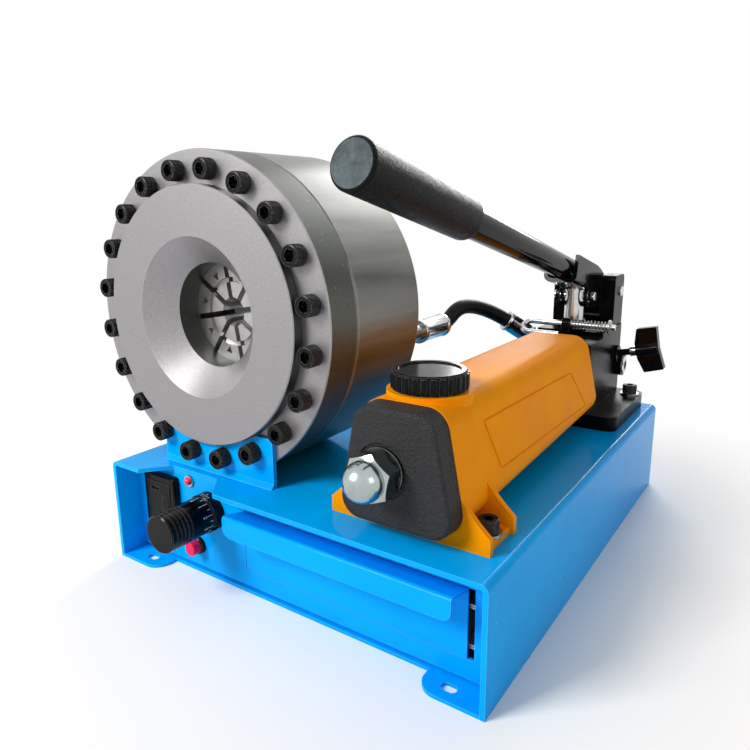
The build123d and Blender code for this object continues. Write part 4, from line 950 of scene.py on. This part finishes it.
def addDigit(shape, digit, angle, y, settings):
    centre = settings["centre"]
    text = bpy.data.curves.new("digit", "FONT")
    text.body = str(digit)
    text.size = settings["digitSize"]
    text.align_x = "CENTER"
    text.align_y = "CENTER"
    text.extrude = settings["lineHeight"] / 2
    holder = bpy.data.objects.new("digit", text)
    bpy.context.scene.collection.objects.link(holder)
    bpy.context.view_layer.update()
    mesh = bpy.data.meshes.new_from_object(holder)
    turn = Matrix.Translation((centre.x, y, centre.z)) @ Matrix.Rotation(angle, 4, "Y")
    mesh.transform(turn @ Matrix.Translation((0, 0, settings["radius"] - settings["digitSink"])))
    shape.from_mesh(mesh)
    bpy.data.objects.remove(holder)
    bpy.data.curves.remove(text)
    bpy.data.meshes.remove(mesh)


def makeDialScale(settings):
    shape = bmesh.new()
    for division in range(settings["divisions"]):
        angle = tau * division / settings["divisions"]
        isLong = division % 2 == 0
        length = settings["longLine"] if isLong else settings["shortLine"]
        lineBack = settings["back"] - settings["backGap"]
        addDialLine(shape, settings["radius"], angle, lineBack, length, settings)
        if isLong:
            digitY = settings["back"] - settings["longLine"] - settings["digitSize"] * settings["digitDrop"]
            addDigit(shape, division // 2, angle, digitY, settings)
    makePiece("dialScale", shape, "dial", "whiteInk")


def makeDialIndex(settings):
    shape = bmesh.new()
    baseRadius = (dialBaseBox[1].x - dialBaseBox[0].x) / 2
    for number in range(-settings["indexSide"], settings["indexSide"] + 1):
        length = settings["indexLong"] if number == 0 else settings["indexShort"]
        angle = radians(settings["indexDegrees"] + settings["indexStepDegrees"] * number)
        backY = dialBaseBox[0].y + settings["indexGap"] + length
        addDialLine(shape, baseRadius, angle, backY, length, settings)
    makePiece("dialIndex", shape, "base", "whiteInk")


makeDialScale(dialSettings)
makeDialIndex(dialSettings)
print("dial scale inked")

# floor, backdrop and lamps
stageSettings = {
    "floorSize": 8.0,
    "floorColor": (1.0, 0.985, 0.96),
    "floorRoughness": 0.9,
    "floorSpecular": 0.1,
    "fadeStart": 0.3,
    "fadeEnd": 0.62,
    "worldStrength": 0.37,
    "lampAim": (0.0, 0.0, 0.15),
    "lamps": [
        {
            "name": "keyLamp",
            "place": (-0.75, -1.6, 1.25),
            "size": 0.7,
            "power": 35.0,
        },
        {
            "name": "fillLamp",
            "place": (1.8, -0.5, 0.9),
            "size": 0.8,
            "power": 2.6,
        },
        {
            "name": "rearLamp",
            "place": (-0.3, 1.5, 1.0),
            "size": 0.9,
            "power": 19.0,
        },
    ],
}


# 1 for rays that should see the white backdrop: from the camera, a mirror or glass
def backdropRays(tree):
    paths = tree.nodes.new("ShaderNodeLightPath")
    shiny = mathNode(tree, "MAXIMUM", paths.outputs["Is Glossy Ray"], paths.outputs["Is Transmission Ray"])
    return mathNode(tree, "MAXIMUM", paths.outputs["Is Camera Ray"], shiny)


def makeFloor(settings):
    mesh = bpy.data.meshes.new("floor")
    shape = bmesh.new()
    bmesh.ops.create_grid(shape, x_segments=1, y_segments=1, size=settings["floorSize"])
    shape.to_mesh(mesh)
    shape.free()
    floor = bpy.data.objects.new("floor", mesh)
    bpy.context.scene.collection.objects.link(floor)
    material = bpy.data.materials.new("floorPaper")
    material.use_nodes = True
    tree = material.node_tree
    shader = tree.nodes["Principled BSDF"]
    shader.inputs["Base Color"].default_value = (*settings["floorColor"], 1.0)
    shader.inputs["Roughness"].default_value = settings["floorRoughness"]
    shader.inputs["Specular IOR Level"].default_value = settings["floorSpecular"]
    coordinates = tree.nodes.new("ShaderNodeTexCoord")
    distance = tree.nodes.new("ShaderNodeVectorMath")
    distance.operation = "LENGTH"
    tree.links.new(coordinates.outputs["Object"], distance.inputs[0])
    fade = tree.nodes.new("ShaderNodeMapRange")
    fade.interpolation_type = "SMOOTHSTEP"
    fade.inputs["From Min"].default_value = settings["fadeStart"]
    fade.inputs["From Max"].default_value = settings["fadeEnd"]
    tree.links.new(distance.outputs["Value"], fade.inputs["Value"])
    white = tree.nodes.new("ShaderNodeEmission")
    mix = tree.nodes.new("ShaderNodeMixShader")
    tree.links.new(mathNode(tree, "MULTIPLY", fade.outputs["Result"], backdropRays(tree)), mix.inputs[0])
    tree.links.new(shader.outputs[0], mix.inputs[1])
    tree.links.new(white.outputs[0], mix.inputs[2])
    tree.links.new(mix.outputs[0], tree.nodes["Material Output"].inputs["Surface"])
    mesh.materials.append(material)


def makeWorld(settings):
    world = bpy.data.worlds.new("studio")
    world.use_nodes = True
    bpy.context.scene.world = world
    tree = world.node_tree
    background = tree.nodes["Background"]
    background.inputs["Color"].default_value = (1.0, 1.0, 1.0, 1.0)
    strength = tree.nodes.new("ShaderNodeMapRange")
    strength.inputs["To Min"].default_value = settings["worldStrength"]
    strength.inputs["To Max"].default_value = 1.0
    tree.links.new(backdropRays(tree), strength.inputs["Value"])
    tree.links.new(strength.outputs["Result"], background.inputs["Strength"])


def makeLamp(lampSettings, settings):
    light = bpy.data.lights.new(lampSettings["name"], "AREA")
    light.shape = "SQUARE"
    light.size = lampSettings["size"]
    light.energy = lampSettings["power"]
    lamp = bpy.data.objects.new(lampSettings["name"], light)
    lamp.location = lampSettings["place"]
    aim = Vector(settings["lampAim"]) - lamp.location
    lamp.rotation_euler = aim.to_track_quat("-Z", "Y").to_euler()
    bpy.context.scene.collection.objects.link(lamp)


makeFloor(stageSettings)
makeWorld(stageSettings)
for lampSettings in stageSettings["lamps"]:
    makeLamp(lampSettings, stageSettings)
bpy.context.scene.view_settings.view_transform = "Standard"
print("stage set")
